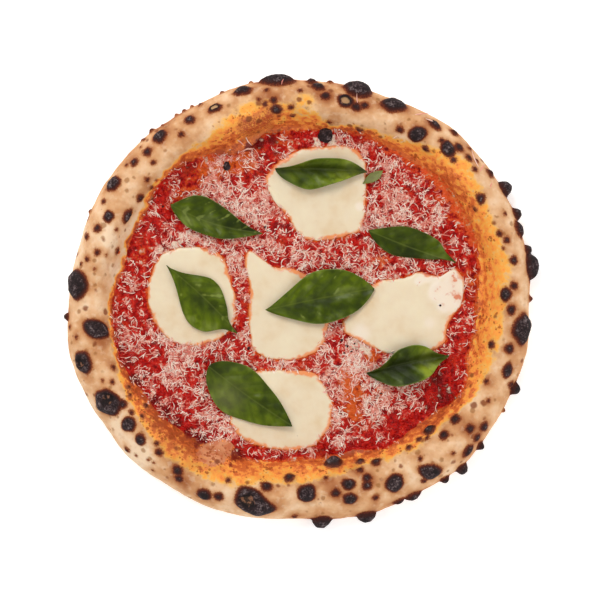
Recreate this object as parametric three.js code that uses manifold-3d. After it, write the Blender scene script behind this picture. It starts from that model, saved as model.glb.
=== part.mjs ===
// A margherita pizza from a very hot oven: a puffed, blistered crust, tomato sauce with grated hard
// cheese, five pools of melted mozzarella and seven basil leaves.
// Millimetres, +Z up. The pizza lies flat. X runs along its longer width, and the origin is on the
// table under its middle.
import * as THREE from "three";
import { mergeVertices } from "three/addons/utils/BufferGeometryUtils.js";
import Module from "manifold-3d";

const wasm = await Module();
wasm.setup();

// ---------------------------------------------------------------- driving dimensions
const GAP = 0.35; // clearance between pieces that touch
const AROUND = 96; // steps round the crust and the sauce

const OUTER_RADIUS = 145.4; // outer edge of the crust, before its waves
const SAUCE_RADIUS = 112.5; // edge of the sauce, before its waves
const FOOT_INSET = 4; // from the sauce's edge in to the foot of the rim
const BASE_THICKNESS = 3.6; // dough under the sauce
const CREST_HEIGHT = 21; // top of the rim
const SAUCE_THICKNESS = 1.7;
const SAUCE_DIP = 0.75; // deepest hollow in the sauce
const EDGE_THICKNESS = 0.7; // rim of a mozzarella pool, and the sauce's own edge
const POOL_DOME = 1.5; // how far a pool's middle stands over its rim
const LEAF_THICKNESS = 0.55;

// Waves of a closed outline: [size, how many round, angle in degrees of the first crest].
const OUTER_WAVES = [
  [1.22, 1, -76], [3.77, 2, 7], [0.94, 3, -38], [1.06, 4, 36], [0.5, 5, 33], [0.58, 7, -9], [0.41, 8, 14],
  [0.37, 11, -11], [0.48, 12, 15],
];
const SAUCE_WAVES = [[6, 2, 8], [3.4, 1, 80], [1.3, 5, 30], [0.8, 9, 12]];
const CREST_WAVES = [[1.1, 2, 60], [0.9, 5, 20], [0.6, 9, 0]];

// Half section of the rim: [share of its width from the foot, share of the crest's height].
const RIM_SECTION = [
  [0, BASE_THICKNESS / CREST_HEIGHT], [0.12, 0.27], [0.24, 0.56], [0.38, 0.87], [0.54, 1], [0.72, 0.97],
  [0.89, 0.78], [1, 0.46], [0.97, 0.22], [0.88, 0.07], [0.78, 0],
];
const SECTION_STEPS = 11;
const BLISTER_SIDES = 8;
const BLISTER_BANDS = 5;
const SAUCE_EDGE_STEP = 1; // the sauce climbs the rim as far as this step of the section
const SAUCE_RINGS = [0.97, 0.84, 0.66, 0.46, 0.24]; // as shares of the way to the foot of the rim

// Charred blisters on the crust: [x, y, half length, half width, turn from the rim's own line].
const BLISTERS = [
  [-15, 140, 11, 4.8, 0], [-37, 133, 6, 3.6, 0], [-54, 122, 4.5, 3.2, 0], [-89, 104, 5, 4.2, 0],
  [-119, 74, 5.2, 4.4, 0], [-121, 53, 3.8, 3.2, 0], [-110, 53.5, 4.4, 3, 0], [-142, 10, 9.5, 7.5, 0],
  [-149.5, -11, 2.6, 2.2, 0], [-129, -19, 9, 5.6, 55], [-138, -40, 7.2, 5.8, 0], [-122, -65, 9, 7.6, 0],
  [-108, -79, 5, 4.8, 0], [-101, -89, 3.8, 3.2, 0], [-61, -123, 4.5, 3.9, 0], [-29.5, -129, 13, 8, -15],
  [4.5, -123, 6, 5.8, 0], [14, -141, 6.5, 4.4, 0], [21.5, -103.5, 5.6, 4.6, 20],
  [30, -116, 4.6, 3.4, -20], [32, -126, 4.5, 4.1, 0], [43, -138, 6.8, 4, 0], [63, -128.5, 4, 2.2, 0],
  [60, -116, 6.4, 6.1, 0], [82.5, -108.5, 7, 5.1, -45], [82.5, -83, 3.9, 3.5, 0],
  [92.5, -114.5, 3.4, 2.8, 0], [107, -95.5, 4.2, 2.9, 0], [103.5, -107.5, 4.4, 3.6, 0],
  [72, -125, 5, 3, 0], [116, -94.5, 3.2, 2.8, 0], [139, -58, 3.8, 3.6, 0], [132, -44.5, 5, 3.3, 0],
  [141.5, -18.5, 10, 7, 0], [130, 3, 4.8, 3.2, 0], [148, 22.5, 8, 5, 0], [147, 32, 3.2, 3, 0],
  [139.5, 45.5, 5.2, 3.4, 0], [138.5, 55.5, 4.3, 3.4, 0], [132.5, 72, 5.2, 4.7, 0],
  [93.5, 96.5, 5.6, 4.4, 0], [74.5, 105.5, 5.6, 4.8, 60], [85.5, 111.5, 4.6, 3, 0],
  [59.5, 124, 8.6, 5.6, 30], [36.5, 134, 9, 6.2, 0], [28.5, 126.5, 5.4, 4.2, 0],
  [11.5, 135.5, 4.5, 3.2, -20],
];
const TOP_RISE = 0.55; // how far a blister on top of the rim stands out, as a share of its half width
const SIDE_RISE = 1.3; // the same for one on the rim's outer side
const BLISTER_LIFT = 0.1; // how high over the dough a blister's outline shows, as a share of its half width
const BLISTER_SUNK = 0.4; // share of a blister's own height that lies inside the dough
// Blisters that burst into a hollow: [x, y, half length, half width].
const BURST_DEPTH = 0.9; // depth of the hollow as a share of its half width
const BURST = [[-33, -127, 6, 4], [-138, -40, 3.6, 2.8], [-121, -63, 4, 3.2], [28.5, 126.5, 3.8, 2.9]];
// Lumps of charred dough stuck in the sauce: [x, y, half sizes along x, y and z].
const CHARRED_LUMPS = [[16.5, 106, 4.5, 4.8, 3.2], [-47, 86, 2.2, 3, 2]];
// Wide, uncharred swellings of the dough: [x, y, radius, rise].
const SWELLINGS = [
  [-46, 107, 14, 6], [-30, 110, 10, 4], [-49, -97, 10, 5.5], [2, -108, 13, 4], [22, -110, 12, 4],
  [98, 72, 15, 5], [117, 38, 16, 4], [121, -20, 15, 4.5], [-115, 30, 14, 2.5], [-125, -20, 17, 3],
  [-95, -75, 15, 3.5], [-86, 96, 17, 2.5], [60, 121, 16, 2.5], [90, -100, 16, 2.5], [-20, -128, 17, 3],
];

// Mozzarella pools: the middle each is drawn from, and the points that its edge passes through.
const POOLS = [
  { name: "mozzarella_top", middle: [12, 70],
    edge: [[-3, 95], [28, 99], [41, 90], [42, 66], [38, 45], [13, 38.5], [0, 42], [-8, 54], [-18, 66],
      [-21, 80]] },
  { name: "mozzarella_left", middle: [-70, 2],
    edge: [[-69, 33], [-52, 30], [-45, 14], [-41, -6], [-47, -21], [-65, -29], [-83, -26], [-94, -12],
      [-98, 4], [-94, 20], [-84, 30]] },
  { name: "mozzarella_middle", middle: [-9, -8],
    edge: [[-32, 31], [-24, 26], [-16, 21], [-3, 19.5], [12, 9], [19, -4], [18, -17], [13, -30],
      [0, -37.5], [-19, -38], [-30, -30], [-33, -10], [-32, 9], [-35.5, 24]] },
  { name: "mozzarella_right", middle: [68, -8],
    edge: [[48, 11], [67, 14], [76, 17.5], [89, 15], [99, 20], [105, 12], [103, -3], [96, -13],
      [91, -29], [74, -35], [57, -34], [42, -28], [28.5, -20], [28, -13], [35, -3]] },
  { name: "mozzarella_bottom", middle: [-13, -71],
    edge: [[-26, -46], [2, -45.5], [13, -51], [20, -66], [20, -77], [15, -87], [7, -94.5],
      [-7, -96.5], [-21, -95], [-35, -90], [-45, -78], [-42, -61], [-35, -50]] },
];
const POOL_STEPS = 28;
const POOL_RINGS = [0.96, 0.72, 0.36]; // as shares of the way to the edge
const POOL_UNDERCUT = 0.985; // the same, where the rounded edge meets the sauce

// Basil leaves: the two ends, then the half outline on each side of the line between them; the
// rib's sideways offset; how far the halves fold up; how far the ends lift; how much of the width
// the far end loses. A half outline is its half width, where along the leaf that is reached, its
// fullness (under 1 is rounder between the ends) and how much of its width the near end loses.
const LEAVES = [
  { name: "basil_top", ends: [[-16, 84], [43, 82]], left: [8, 0.62, 0.85, 0.3],
    right: [12.5, 0.34, 1.15, 0.15], rib: 1, fold: 5, lift: 1.5, tail: 0 },
  { name: "basil_upper_left", ends: [[-83, 61], [-24, 43]], left: [11.5, 0.33, 1.9, 0],
    right: [12.2, 0.44, 0.85, 0], rib: -3.5, fold: 2.5, lift: 1.2, tail: 0 },
  { name: "basil_left", ends: [[-85.5, 22], [-40, -21]], left: [14, 0.45, 1.5, 0.5],
    right: [16.5, 0.6, 0.85, 0.3], rib: 1.5, fold: -2.5, lift: 0.8, tail: 0.55 },
  { name: "basil_middle", ends: [[-22, -6.5], [47.5, 7.5]], left: [18.4, 0.59, 0.85, 0],
    right: [15.9, 0.57, 0.72, 0], rib: 0.5, fold: 2.5, lift: 1.5, tail: 0 },
  { name: "basil_right", ends: [[44, 44.5], [100, 24]], left: [11.6, 0.52, 0.85, 0],
    right: [9, 0.33, 1.4, 0], rib: -1, fold: -2, lift: 1, tail: 0.4 },
  { name: "basil_lower_right", ends: [[42.5, -47], [95.5, -35.5]], left: [11.5, 0.55, 1.3, 0.6],
    right: [13, 0.47, 0.85, 0], rib: 1, fold: 6.5, lift: 2, tail: 0.35 },
  { name: "basil_bottom", ends: [[-58.5, -42.5], [-5, -80.5]], left: [14.2, 0.37, 0.85, 0],
    right: [18, 0.38, 0.85, 0], rib: -1, fold: -2.5, lift: 1, tail: 0 },
  { name: "basil_sprig", ends: [[40.5, 74.5], [53, 83]], left: [2.6, 0.5, 0.85, 0],
    right: [3, 0.6, 0.85, 0], rib: 0, fold: 1.2, lift: 1, tail: 0 },
];
const LEAF_ROWS = 10;
const LEAF_ACROSS = 6;
const NEAR_END = [0.1, 0.45]; // the shares of a leaf's length over which its near end widens
const FAR_END = [0.74, 0.9]; // the same, where its far end narrows

const SHREDS = 90; // the largest shreds of grated cheese
const SHRED_LENGTH = [7, 13];
const SHRED_WIDTH = 1.5;
const SHRED_RISE = 0.6; // ridge of a shred over the sauce
const SHRED_SUNK = 0.3; // flat face of a shred under the sauce
const SHRED_BEND = 2.4;
const CHEESE_AREA = [115, 110]; // half sizes of the area that shreds are drawn from
const CLEAR_OF_FOOT = 2;
const CLEAR_OF_POOL = 1.07; // as a share of a pool's own width
const CLEAR_OF_LEAF = 1.5;

// ---------------------------------------------------------------- helpers
const radians = THREE.MathUtils.degToRad;
const mix = THREE.MathUtils.lerp;

// The same "random" numbers each time, from 0 to 1.
function seededRandom(seed) {
  let state = seed;
  return () => {
    state = (state * 1664525 + 1013904223) % 4294967296;
    return state / 4294967296;
  };
}

const waves = (list, angle) =>
  list.reduce((sum, [size, count, turn]) => sum + size * Math.cos(count * (angle - radians(turn))), 0);

const outerRadius = (angle) => OUTER_RADIUS + waves(OUTER_WAVES, angle);
const sauceRadius = (angle) => SAUCE_RADIUS + waves(SAUCE_WAVES, angle);
const footRadius = (angle) => sauceRadius(angle) - FOOT_INSET;
const crestHeight = (angle) => CREST_HEIGHT + waves(CREST_WAVES, angle);

function solidOf(geometry) {
  const bare = geometry.clone();
  bare.deleteAttribute("normal");
  bare.deleteAttribute("uv");
  const merged = mergeVertices(bare, 1e-4);
  return new wasm.Manifold(
    new wasm.Mesh({
      numProp: 3,
      vertProperties: merged.attributes.position.array,
      triVerts: new Uint32Array(merged.index.array),
    }),
  );
}

function geometryOf(solid) {
  const mesh = solid.getMesh();
  const geometry = new THREE.BufferGeometry();
  geometry.setAttribute("position", new THREE.BufferAttribute(mesh.vertProperties, 3));
  geometry.setIndex(new THREE.BufferAttribute(mesh.triVerts, 1));
  geometry.computeVertexNormals();
  return geometry;
}

const largestBody = (solid) =>
  solid.decompose().reduce((best, body) => (body.volume() > best.volume() ? body : best));

function indexedGeometry(points, faces) {
  const geometry = new THREE.BufferGeometry().setFromPoints(points);
  geometry.setIndex(faces.flat());
  geometry.computeVertexNormals();
  return geometry;
}

// A closed body from rings of points, from the middle of its underside, out and up, to the middle
// of its top. Each ring runs counterclockwise seen from above, and has as many points as the ring
// before it or half as many.
function stackedRings(under, rings, top) {
  const points = [under, ...rings.flat(), top];
  const topIndex = points.length - 1;
  const faces = [];
  let start = 1;
  const at = (ringStart, ring, i) => ringStart + (i % ring.length);
  rings.forEach((ring, k) => {
    const next = rings[k + 1];
    const nextStart = start + ring.length;
    for (let i = 0; i < ring.length; i++) {
      const [a, b] = [at(start, ring, i), at(start, ring, i + 1)];
      if (k === 0) faces.push([0, b, a]);
      if (!next) {
        faces.push([a, b, topIndex]);
      } else if (next.length === ring.length) {
        const [c, d] = [at(nextStart, next, i), at(nextStart, next, i + 1)];
        faces.push([a, b, d], [a, d, c]);
      } else if (i % 2 === 0) {
        const [c, d] = [at(nextStart, next, i / 2), at(nextStart, next, i / 2 + 1)];
        faces.push([a, b, c], [b, d, c], [b, at(start, ring, i + 2), d]);
      }
    }
    start = nextStart;
  });
  return indexedGeometry(points, faces);
}

const everyOther = (ring) => ring.filter((_, i) => i % 2 === 0);

// ---------------------------------------------------------------- the rim's surface
const sectionCurve = new THREE.SplineCurve(RIM_SECTION.map(([u, v]) => new THREE.Vector2(u, v)));
const section = sectionCurve.getSpacedPoints(SECTION_STEPS);
const fineSection = sectionCurve.getSpacedPoints(20 * SECTION_STEPS);
const widest = fineSection.reduce((best, p, i) => (p.x > fineSection[best].x ? i : best), 0);
const angles = Array.from({ length: AROUND }, (_, i) => (i / AROUND) * 2 * Math.PI);

function swelling(x, y) {
  const each = ([sx, sy, radius, rise]) =>
    rise * Math.exp(-((x - sx) ** 2 + (y - sy) ** 2) / radius ** 2);
  return SWELLINGS.reduce((sum, row) => sum + each(row), 0);
}

// A point of the rim, from its place in the section and its angle round the pizza.
function rimPoint(angle, { x: u, y: v }) {
  const radius = mix(footRadius(angle), outerRadius(angle), u);
  const [x, y] = [radius * Math.cos(angle), radius * Math.sin(angle)];
  const height = v * crestHeight(angle) + Math.min(1, 3 * v) * swelling(x, y);
  return new THREE.Vector3(x, y, u === 0 ? BASE_THICKNESS : height);
}

// The place on the crust where something that stands out by lift is seen at (x, y) from above: the
// point, the way the crust faces there, and the rim's own line.
function crustSurface(x, y, lift) {
  const angle = Math.atan2(y, x);
  const wanted = Math.hypot(x, y);
  const outward = new THREE.Vector3(x, y, 0).normalize();
  const along = new THREE.Vector3(-outward.y, outward.x, 0);
  if (wanted < footRadius(angle)) {
    return { at: new THREE.Vector3(x, y, BASE_THICKNESS), facing: new THREE.Vector3(0, 0, 1), along };
  }
  for (let i = 0; ; i++) {
    const at = rimPoint(angle, fineSection[i]);
    const next = rimPoint(angle, fineSection[i + 1]);
    const facing = next.sub(at).cross(along).normalize();
    const seen = at.dot(outward) + lift * facing.dot(outward);
    if (i === widest || seen >= wanted) return { at, facing, along };
  }
}

// ---------------------------------------------------------------- crust
// An ellipsoid on the crust, as long and wide as stated where it meets the surface.
function ellipsoidOnCrust([long, wide, turn], { at, facing, along }, rise, sunk, grow) {
  const axis = along.clone().applyAxisAngle(facing, radians(turn));
  const across = facing.clone().cross(axis);
  const place = new THREE.Matrix4().makeBasis(axis, across, facing).setPosition(at);
  const spread = 1 / Math.sqrt(1 - sunk ** 2);
  const height = rise / (1 - sunk);
  return new THREE.SphereGeometry(1, BLISTER_SIDES, BLISTER_BANDS)
    .rotateX(Math.PI / 2)
    .scale(long * spread + grow, wide * spread + grow, height + grow)
    .translate(0, 0, -sunk * height)
    .applyMatrix4(place);
}

// A blister stands out further the more the crust there faces the oven's flame, at its side.
function blisterSolids(grow) {
  const solids = BLISTERS.map(([x, y, long, wide, turn]) => {
    const place = crustSurface(x, y, BLISTER_LIFT * wide);
    const rise = wide * mix(SIDE_RISE, TOP_RISE, place.facing.z);
    return solidOf(ellipsoidOnCrust([long, wide, turn], place, rise, BLISTER_SUNK, grow));
  });
  return wasm.Manifold.union(solids);
}

// What is cut out of a burst blister.
function burstSolid([x, y, long, wide]) {
  const place = crustSurface(x, y, 0);
  return solidOf(ellipsoidOnCrust([long, wide, 0], place, BURST_DEPTH * wide, 0, 0));
}

// The dough before its blisters: its rings run from the foot under the rim round to the sauce's bed.
function doughBody() {
  const rings = [...section].reverse().map((p) => angles.map((angle) => rimPoint(angle, p)));
  return stackedRings(new THREE.Vector3(0, 0, 0), rings, new THREE.Vector3(0, 0, BASE_THICKNESS));
}

// What lies under the table's plane is cut away, so that the crust rests flat.
function belowTable() {
  const [width, depth] = [3 * OUTER_RADIUS, 2 * CREST_HEIGHT];
  return solidOf(new THREE.BoxGeometry(width, width, depth).translate(0, 0, -depth / 2));
}

function crustSolid() {
  const risen = solidOf(doughBody()).add(blisterSolids(0));
  return largestBody(risen.subtract(wasm.Manifold.union([...BURST.map(burstSolid), belowTable()])));
}

// ---------------------------------------------------------------- plan shapes of the toppings
for (const pool of POOLS) {
  const corners = pool.edge.map(([x, y]) => new THREE.Vector3(x, y, 0));
  const curve = new THREE.CatmullRomCurve3(corners, true, "centripetal");
  const points = curve.getSpacedPoints(POOL_STEPS).slice(0, POOL_STEPS);
  // Rings run counterclockwise, and the edges are listed clockwise.
  pool.outline = points.reverse();
}

// How far out a point lies in a pool: 0 at its middle, 1 on its edge, over 1 outside.
function poolShare({ middle, outline }, x, y) {
  const [px, py] = [x - middle[0], y - middle[1]];
  for (let i = 0; i < outline.length; i++) {
    const a = outline[i];
    const b = outline[(i + 1) % outline.length];
    const [ax, ay, bx, by] = [a.x - middle[0], a.y - middle[1], b.x - middle[0], b.y - middle[1]];
    const whole = ax * by - ay * bx;
    const s = (px * by - py * bx) / whole;
    const t = (ax * py - ay * px) / whole;
    if (s >= 0 && t >= 0) return s + t;
  }
  return 0;
}

// A leaf's frame: along it from its first end, and to its left.
function leafFrame({ ends: [[x0, y0], [x1, y1]] }) {
  const length = Math.hypot(x1 - x0, y1 - y0);
  const [dx, dy] = [(x1 - x0) / length, (y1 - y0) / length];
  return {
    length,
    plan: (u, off) => [x0 + dx * u * length - dy * off, y0 + dy * u * length + dx * off],
    inverse: (x, y) => [
      ((x - x0) * dx + (y - y0) * dy) / length,
      (y - y0) * dx - (x - x0) * dy,
    ],
  };
}

// The half width of one side of a leaf at a share u of its length.
function sideWidth([width, peak, fullness, drawnIn], tail, u) {
  const outline = Math.sin(Math.PI * u ** (Math.log(0.5) / Math.log(peak))) ** fullness;
  const nearEnd = 1 - drawnIn * (1 - THREE.MathUtils.smoothstep(u, ...NEAR_END));
  const farEnd = 1 - tail * THREE.MathUtils.smoothstep(u, ...FAR_END);
  return width * outline * nearEnd * farEnd;
}

function leafCovers(leaf, x, y, margin) {
  const [u, off] = leafFrame(leaf).inverse(x, y);
  if (u < 0 || u > 1) return false;
  const [left, right] = [leaf.left, leaf.right].map((side) => sideWidth(side, leaf.tail, u));
  return off < left + margin && off > -right - margin;
}

// ---------------------------------------------------------------- tomato sauce with grated cheese
const SAUCE_TOP = BASE_THICKNESS + GAP + SAUCE_THICKNESS;

function sauceTop(x, y) {
  const ripple = Math.sin(x / 9 + 1.3) * Math.sin(y / 11 + 0.4) + Math.sin((x - y) / 6.5) / 2;
  return SAUCE_TOP - SAUCE_DIP * (0.5 + ripple / 3);
}

// The sauce before its shreds. It reaches down into the dough, which is then cut away from it.
function sauceBody() {
  const raised = (points, rise) => points.map((p) => p.clone().setZ(p.z + rise));
  const foot = angles.map((angle) => rimPoint(angle, section[0]));
  const edge = angles.map((angle) => rimPoint(angle, section[SAUCE_EDGE_STEP]));
  const edgeTop = raised(edge, GAP + EDGE_THICKNESS);
  const [underFoot, underEdge] = [raised(foot, -1), raised(edge, -1)];
  const ring = (points, share) =>
    points.map(({ x, y }) => new THREE.Vector3(x * share, y * share, sauceTop(x * share, y * share)));
  const half = everyOther(foot);
  const quarter = everyOther(half);
  const inner = [foot, half, half, quarter, quarter].map((points, k) => ring(points, SAUCE_RINGS[k]));
  const under = new THREE.Vector3(0, 0, BASE_THICKNESS - 1);
  const rings = [underFoot, underEdge, edgeTop, ...inner];
  return stackedRings(under, rings, new THREE.Vector3(0, 0, sauceTop(0, 0)));
}

// One shred: a bent strip, half sunk in the sauce.
function shredGeometry(x, y, heading, length, bend) {
  const reach = new THREE.Vector2(Math.cos(heading), Math.sin(heading)).multiplyScalar(length / 2);
  const side = new THREE.Vector2(-reach.y, reach.x).setLength(bend);
  const onSauce = (px, py) => new THREE.Vector3(px, py, sauceTop(px, py));
  const path = new THREE.QuadraticBezierCurve3(
    onSauce(x - reach.x, y - reach.y),
    onSauce(x + side.x, y + side.y),
    onSauce(x + reach.x, y + reach.y),
  );
  // A ridge up and a flat face under the sauce: along a level path, an extrusion's own X points down.
  const strip = new THREE.Shape([
    new THREE.Vector2(-SHRED_RISE, 0),
    new THREE.Vector2(SHRED_SUNK, -SHRED_WIDTH / 2),
    new THREE.Vector2(SHRED_SUNK, SHRED_WIDTH / 2),
  ]);
  return {
    geometry: new THREE.ExtrudeGeometry(strip, { steps: 2, extrudePath: path, bevelEnabled: false }),
    points: [0, 0.25, 0.5, 0.75, 1].map((t) => path.getPoint(t)),
  };
}

// Grated cheese lies thickest in a few broad drifts.
function cheeseDrift(x, y) {
  const drift = Math.sin(x / 26 + 2.1) * Math.cos(y / 23 - 0.6) + Math.sin((x + 1.4 * y) / 31);
  return 0.6 + 0.3 * drift;
}

function shredSolids() {
  const random = seededRandom(20);
  const clear = ({ x, y }) =>
    Math.hypot(x, y) < footRadius(Math.atan2(y, x)) - CLEAR_OF_FOOT &&
    POOLS.every((pool) => poolShare(pool, x, y) > CLEAR_OF_POOL) &&
    LEAVES.every((leaf) => !leafCovers(leaf, x, y, CLEAR_OF_LEAF));
  const shreds = [];
  while (shreds.length < SHREDS) {
    const [x, y] = CHEESE_AREA.map((half) => mix(-half, half, random()));
    const length = mix(...SHRED_LENGTH, random());
    const bend = mix(-SHRED_BEND, SHRED_BEND, random());
    const shred = shredGeometry(x, y, random() * Math.PI, length, bend);
    if (random() < cheeseDrift(x, y) && shred.points.every(clear)) shreds.push(solidOf(shred.geometry));
  }
  return shreds;
}

// A charred lump, half sunk in the sauce.
function lumpSolid([x, y, ...halfSizes]) {
  return solidOf(new THREE.IcosahedronGeometry(1, 1).scale(...halfSizes).translate(x, y, sauceTop(x, y)));
}

function sauceSolid() {
  const toppings = [...shredSolids(), ...CHARRED_LUMPS.map(lumpSolid)];
  const whole = wasm.Manifold.union([solidOf(sauceBody()), ...toppings]);
  const dough = solidOf(doughBody()).translate([0, 0, GAP]).add(blisterSolids(GAP));
  return largestBody(whole.subtract(dough));
}

// ---------------------------------------------------------------- mozzarella
const POOL_UNDER = SAUCE_TOP + GAP;
const poolTop = (share) => POOL_UNDER + EDGE_THICKNESS + POOL_DOME * (1 - share ** 3);

function poolSolid({ middle: [x, y], outline }) {
  const ring = (share, z) =>
    outline.map((p) => new THREE.Vector3(mix(x, p.x, share), mix(y, p.y, share), z));
  const [shoulder, ...inner] = POOL_RINGS.map((share) => ring(share, poolTop(share)));
  const edge = [ring(POOL_UNDERCUT, POOL_UNDER), ring(1, POOL_UNDER + EDGE_THICKNESS / 2)];
  const rings = [...edge, shoulder, ...inner.map(everyOther)];
  const body = stackedRings(
    new THREE.Vector3(x, y, POOL_UNDER), rings, new THREE.Vector3(x, y, poolTop(0)),
  );
  return solidOf(body);
}

// ---------------------------------------------------------------- basil
// The height of what a leaf lies on.
function toppingTop(x, y) {
  const shares = POOLS.map((pool) => poolShare(pool, x, y)).filter((share) => share < 1.04);
  return shares.length ? poolTop(Math.min(...shares, 1)) : SAUCE_TOP;
}

// Places across a leaf, from -1 on its right edge to 1 on its left.
const ACROSS_LEAF = Array.from({ length: LEAF_ACROSS + 1 }, (_, k) => (2 * k) / LEAF_ACROSS - 1);

function leafSolid(leaf) {
  const { length, plan } = leafFrame(leaf);
  const rows = [];
  for (let i = 0; i <= LEAF_ROWS; i++) {
    const u = i / LEAF_ROWS;
    const rib = leaf.rib * Math.sin(Math.PI * u);
    const [left, right] = [leaf.left, leaf.right].map((side) => sideWidth(side, leaf.tail, u));
    const isEnd = i === 0 || i === LEAF_ROWS;
    rows.push((isEnd ? [0] : ACROSS_LEAF).map((s) => {
      const off = s < 0 ? mix(rib, -right, -s) : mix(rib, left, s);
      const fold = leaf.fold * Math.abs(s) ** 1.3 * Math.sin(Math.PI * u);
      const ripple = 0.5 * s * s * Math.sin(5 * Math.PI * u + 2 * s) * Math.min(1, length / 40);
      const [x, y] = plan(u, off);
      return new THREE.Vector3(x, y, fold + leaf.lift * (2 * u - 1) ** 2 + ripple);
    }));
  }
  settle(rows);
  return solidOf(thinSheet(rows, LEAF_THICKNESS));
}

// Tilts a leaf to lie along what is under its two ends, then lowers it until it rests there.
function settle(rows) {
  const [first, last] = [rows[2], rows[rows.length - 3]].map((row) => row[LEAF_ACROSS / 2]);
  const rise = toppingTop(last.x, last.y) - toppingTop(first.x, first.y);
  rows.forEach((row, i) => row.forEach((p) => (p.z += (rise * i) / (rows.length - 1))));
  const clearance = rows.flat().map((p) => p.z - toppingTop(p.x, p.y));
  const drop = Math.min(...clearance) - LEAF_THICKNESS - GAP;
  rows.flat().forEach((p) => (p.z -= drop));
}

// A thin closed body over rows of points, with a single point as its first and last row.
function thinSheet(rows, thickness) {
  const top = rows.flat();
  const under = top.map((p) => p.clone().setZ(p.z - thickness));
  const count = top.length;
  const width = rows[1].length;
  const at = (row, k) => (row === 0 ? 0 : row === rows.length - 1 ? count - 1 : 1 + (row - 1) * width + k);
  const faces = [];
  for (let k = 0; k < width - 1; k++) {
    faces.push([0, at(1, k), at(1, k + 1)]);
    for (let row = 1; row < rows.length - 2; row++) {
      faces.push([at(row, k), at(row + 1, k), at(row + 1, k + 1)]);
      faces.push([at(row, k), at(row + 1, k + 1), at(row, k + 1)]);
    }
    faces.push([at(rows.length - 2, k), count - 1, at(rows.length - 2, k + 1)]);
  }
  const underFaces = faces.map(([a, b, c]) => [a + count, c + count, b + count]);
  const walls = [];
  for (let row = 0; row < rows.length - 1; row++) {
    const [a, b] = [at(row, 0), at(row + 1, 0)];
    const [c, d] = [at(row, width - 1), at(row + 1, width - 1)];
    walls.push([a, a + count, b], [b, a + count, b + count]);
    walls.push([c, d, c + count], [d, d + count, c + count]);
  }
  return indexedGeometry([...top, ...under], [...faces, ...underFaces, ...walls]);
}

// ---------------------------------------------------------------- the pizza
const finish = {
  crust: new THREE.MeshStandardMaterial({ color: "#dcae80", roughness: 0.85, metalness: 0 }),
  sauce: new THREE.MeshStandardMaterial({ color: "#ab2a22", roughness: 0.35, metalness: 0 }),
  mozzarella: new THREE.MeshStandardMaterial({ color: "#ecdabb", roughness: 0.35, metalness: 0 }),
  basil: new THREE.MeshStandardMaterial({ color: "#4b5c20", roughness: 0.45, metalness: 0 }),
};

function named(name, solid, material) {
  const mesh = new THREE.Mesh(geometryOf(solid), material);
  mesh.name = name;
  return mesh;
}

const mozzarella = new THREE.Group();
POOLS.forEach((pool) => mozzarella.add(named(pool.name, poolSolid(pool), finish.mozzarella)));

const basil = new THREE.Group();
LEAVES.forEach((leaf) => basil.add(named(leaf.name, leafSolid(leaf), finish.basil)));

const pizza = new THREE.Group();
pizza.add(named("crust", crustSolid(), finish.crust));
pizza.add(named("tomato_sauce", sauceSolid(), finish.sauce));
pizza.add(mozzarella, basil);

export default pizza;
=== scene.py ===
# %% [markdown]
# # A margherita pizza from a very hot oven
#
# The pizza is built from the table up, as a cook would: dough, tomato sauce, melted mozzarella,
# grated hard cheese and basil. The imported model's solids give the places and sizes. Each of them
# is replaced here by a finer mesh of the same form, with a material of its own.

# %% Load the frame
import math

import bpy
import numpy as np
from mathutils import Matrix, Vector, noise


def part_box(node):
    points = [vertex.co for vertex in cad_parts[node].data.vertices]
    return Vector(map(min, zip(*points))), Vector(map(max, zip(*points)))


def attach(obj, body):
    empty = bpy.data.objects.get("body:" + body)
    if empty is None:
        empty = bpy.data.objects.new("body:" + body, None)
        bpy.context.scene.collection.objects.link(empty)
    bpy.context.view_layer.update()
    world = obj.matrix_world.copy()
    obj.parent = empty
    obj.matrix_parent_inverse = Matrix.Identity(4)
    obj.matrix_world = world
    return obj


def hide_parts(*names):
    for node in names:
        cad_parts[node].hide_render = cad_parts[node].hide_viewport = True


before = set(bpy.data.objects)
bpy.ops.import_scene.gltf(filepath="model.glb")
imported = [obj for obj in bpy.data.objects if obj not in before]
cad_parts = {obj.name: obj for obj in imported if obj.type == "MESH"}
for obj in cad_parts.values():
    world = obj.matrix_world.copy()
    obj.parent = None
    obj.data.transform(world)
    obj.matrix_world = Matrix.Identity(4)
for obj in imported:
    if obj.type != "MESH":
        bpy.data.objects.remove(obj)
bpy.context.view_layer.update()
MM = 0.001

# %% [markdown]
# ## Driving sizes
#
# They are the model's own, in millimetres. The outline of the crust and the edge of the sauce are
# circles with a few waves: each wave is a size, how many times it goes round, and the angle in
# degrees of its first crest.

# %% Sizes
OUTER_RADIUS = 145.4
SAUCE_RADIUS = 112.5
FOOT_INSET = 4.0
BASE_THICKNESS = 3.6
CREST_HEIGHT = 21.0
GAP = 0.35  # between solids that touch
SAUCE_THICKNESS = 1.7
SAUCE_DIP = 0.75
SAUCE_TOP = BASE_THICKNESS + GAP + SAUCE_THICKNESS
POOL_UNDER = SAUCE_TOP + GAP

OUTER_WAVES = [(1.22, 1, -76), (3.77, 2, 7), (0.94, 3, -38), (1.06, 4, 36), (0.5, 5, 33),
               (0.58, 7, -9), (0.41, 8, 14), (0.37, 11, -11), (0.48, 12, 15)]
SAUCE_WAVES = [(6, 2, 8), (3.4, 1, 80), (1.3, 5, 30), (0.8, 9, 12)]
CREST_WAVES = [(1.1, 2, 60), (0.9, 5, 20), (0.6, 9, 0)]

# Section of the rim: share of its width from the foot, and share of the crest's height.
RIM_SECTION = np.array([
    (0, BASE_THICKNESS / CREST_HEIGHT), (0.12, 0.27), (0.24, 0.56), (0.38, 0.87), (0.54, 1),
    (0.72, 0.97), (0.89, 0.78), (1, 0.46), (0.97, 0.22), (0.88, 0.07), (0.78, 0),
])

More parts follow.
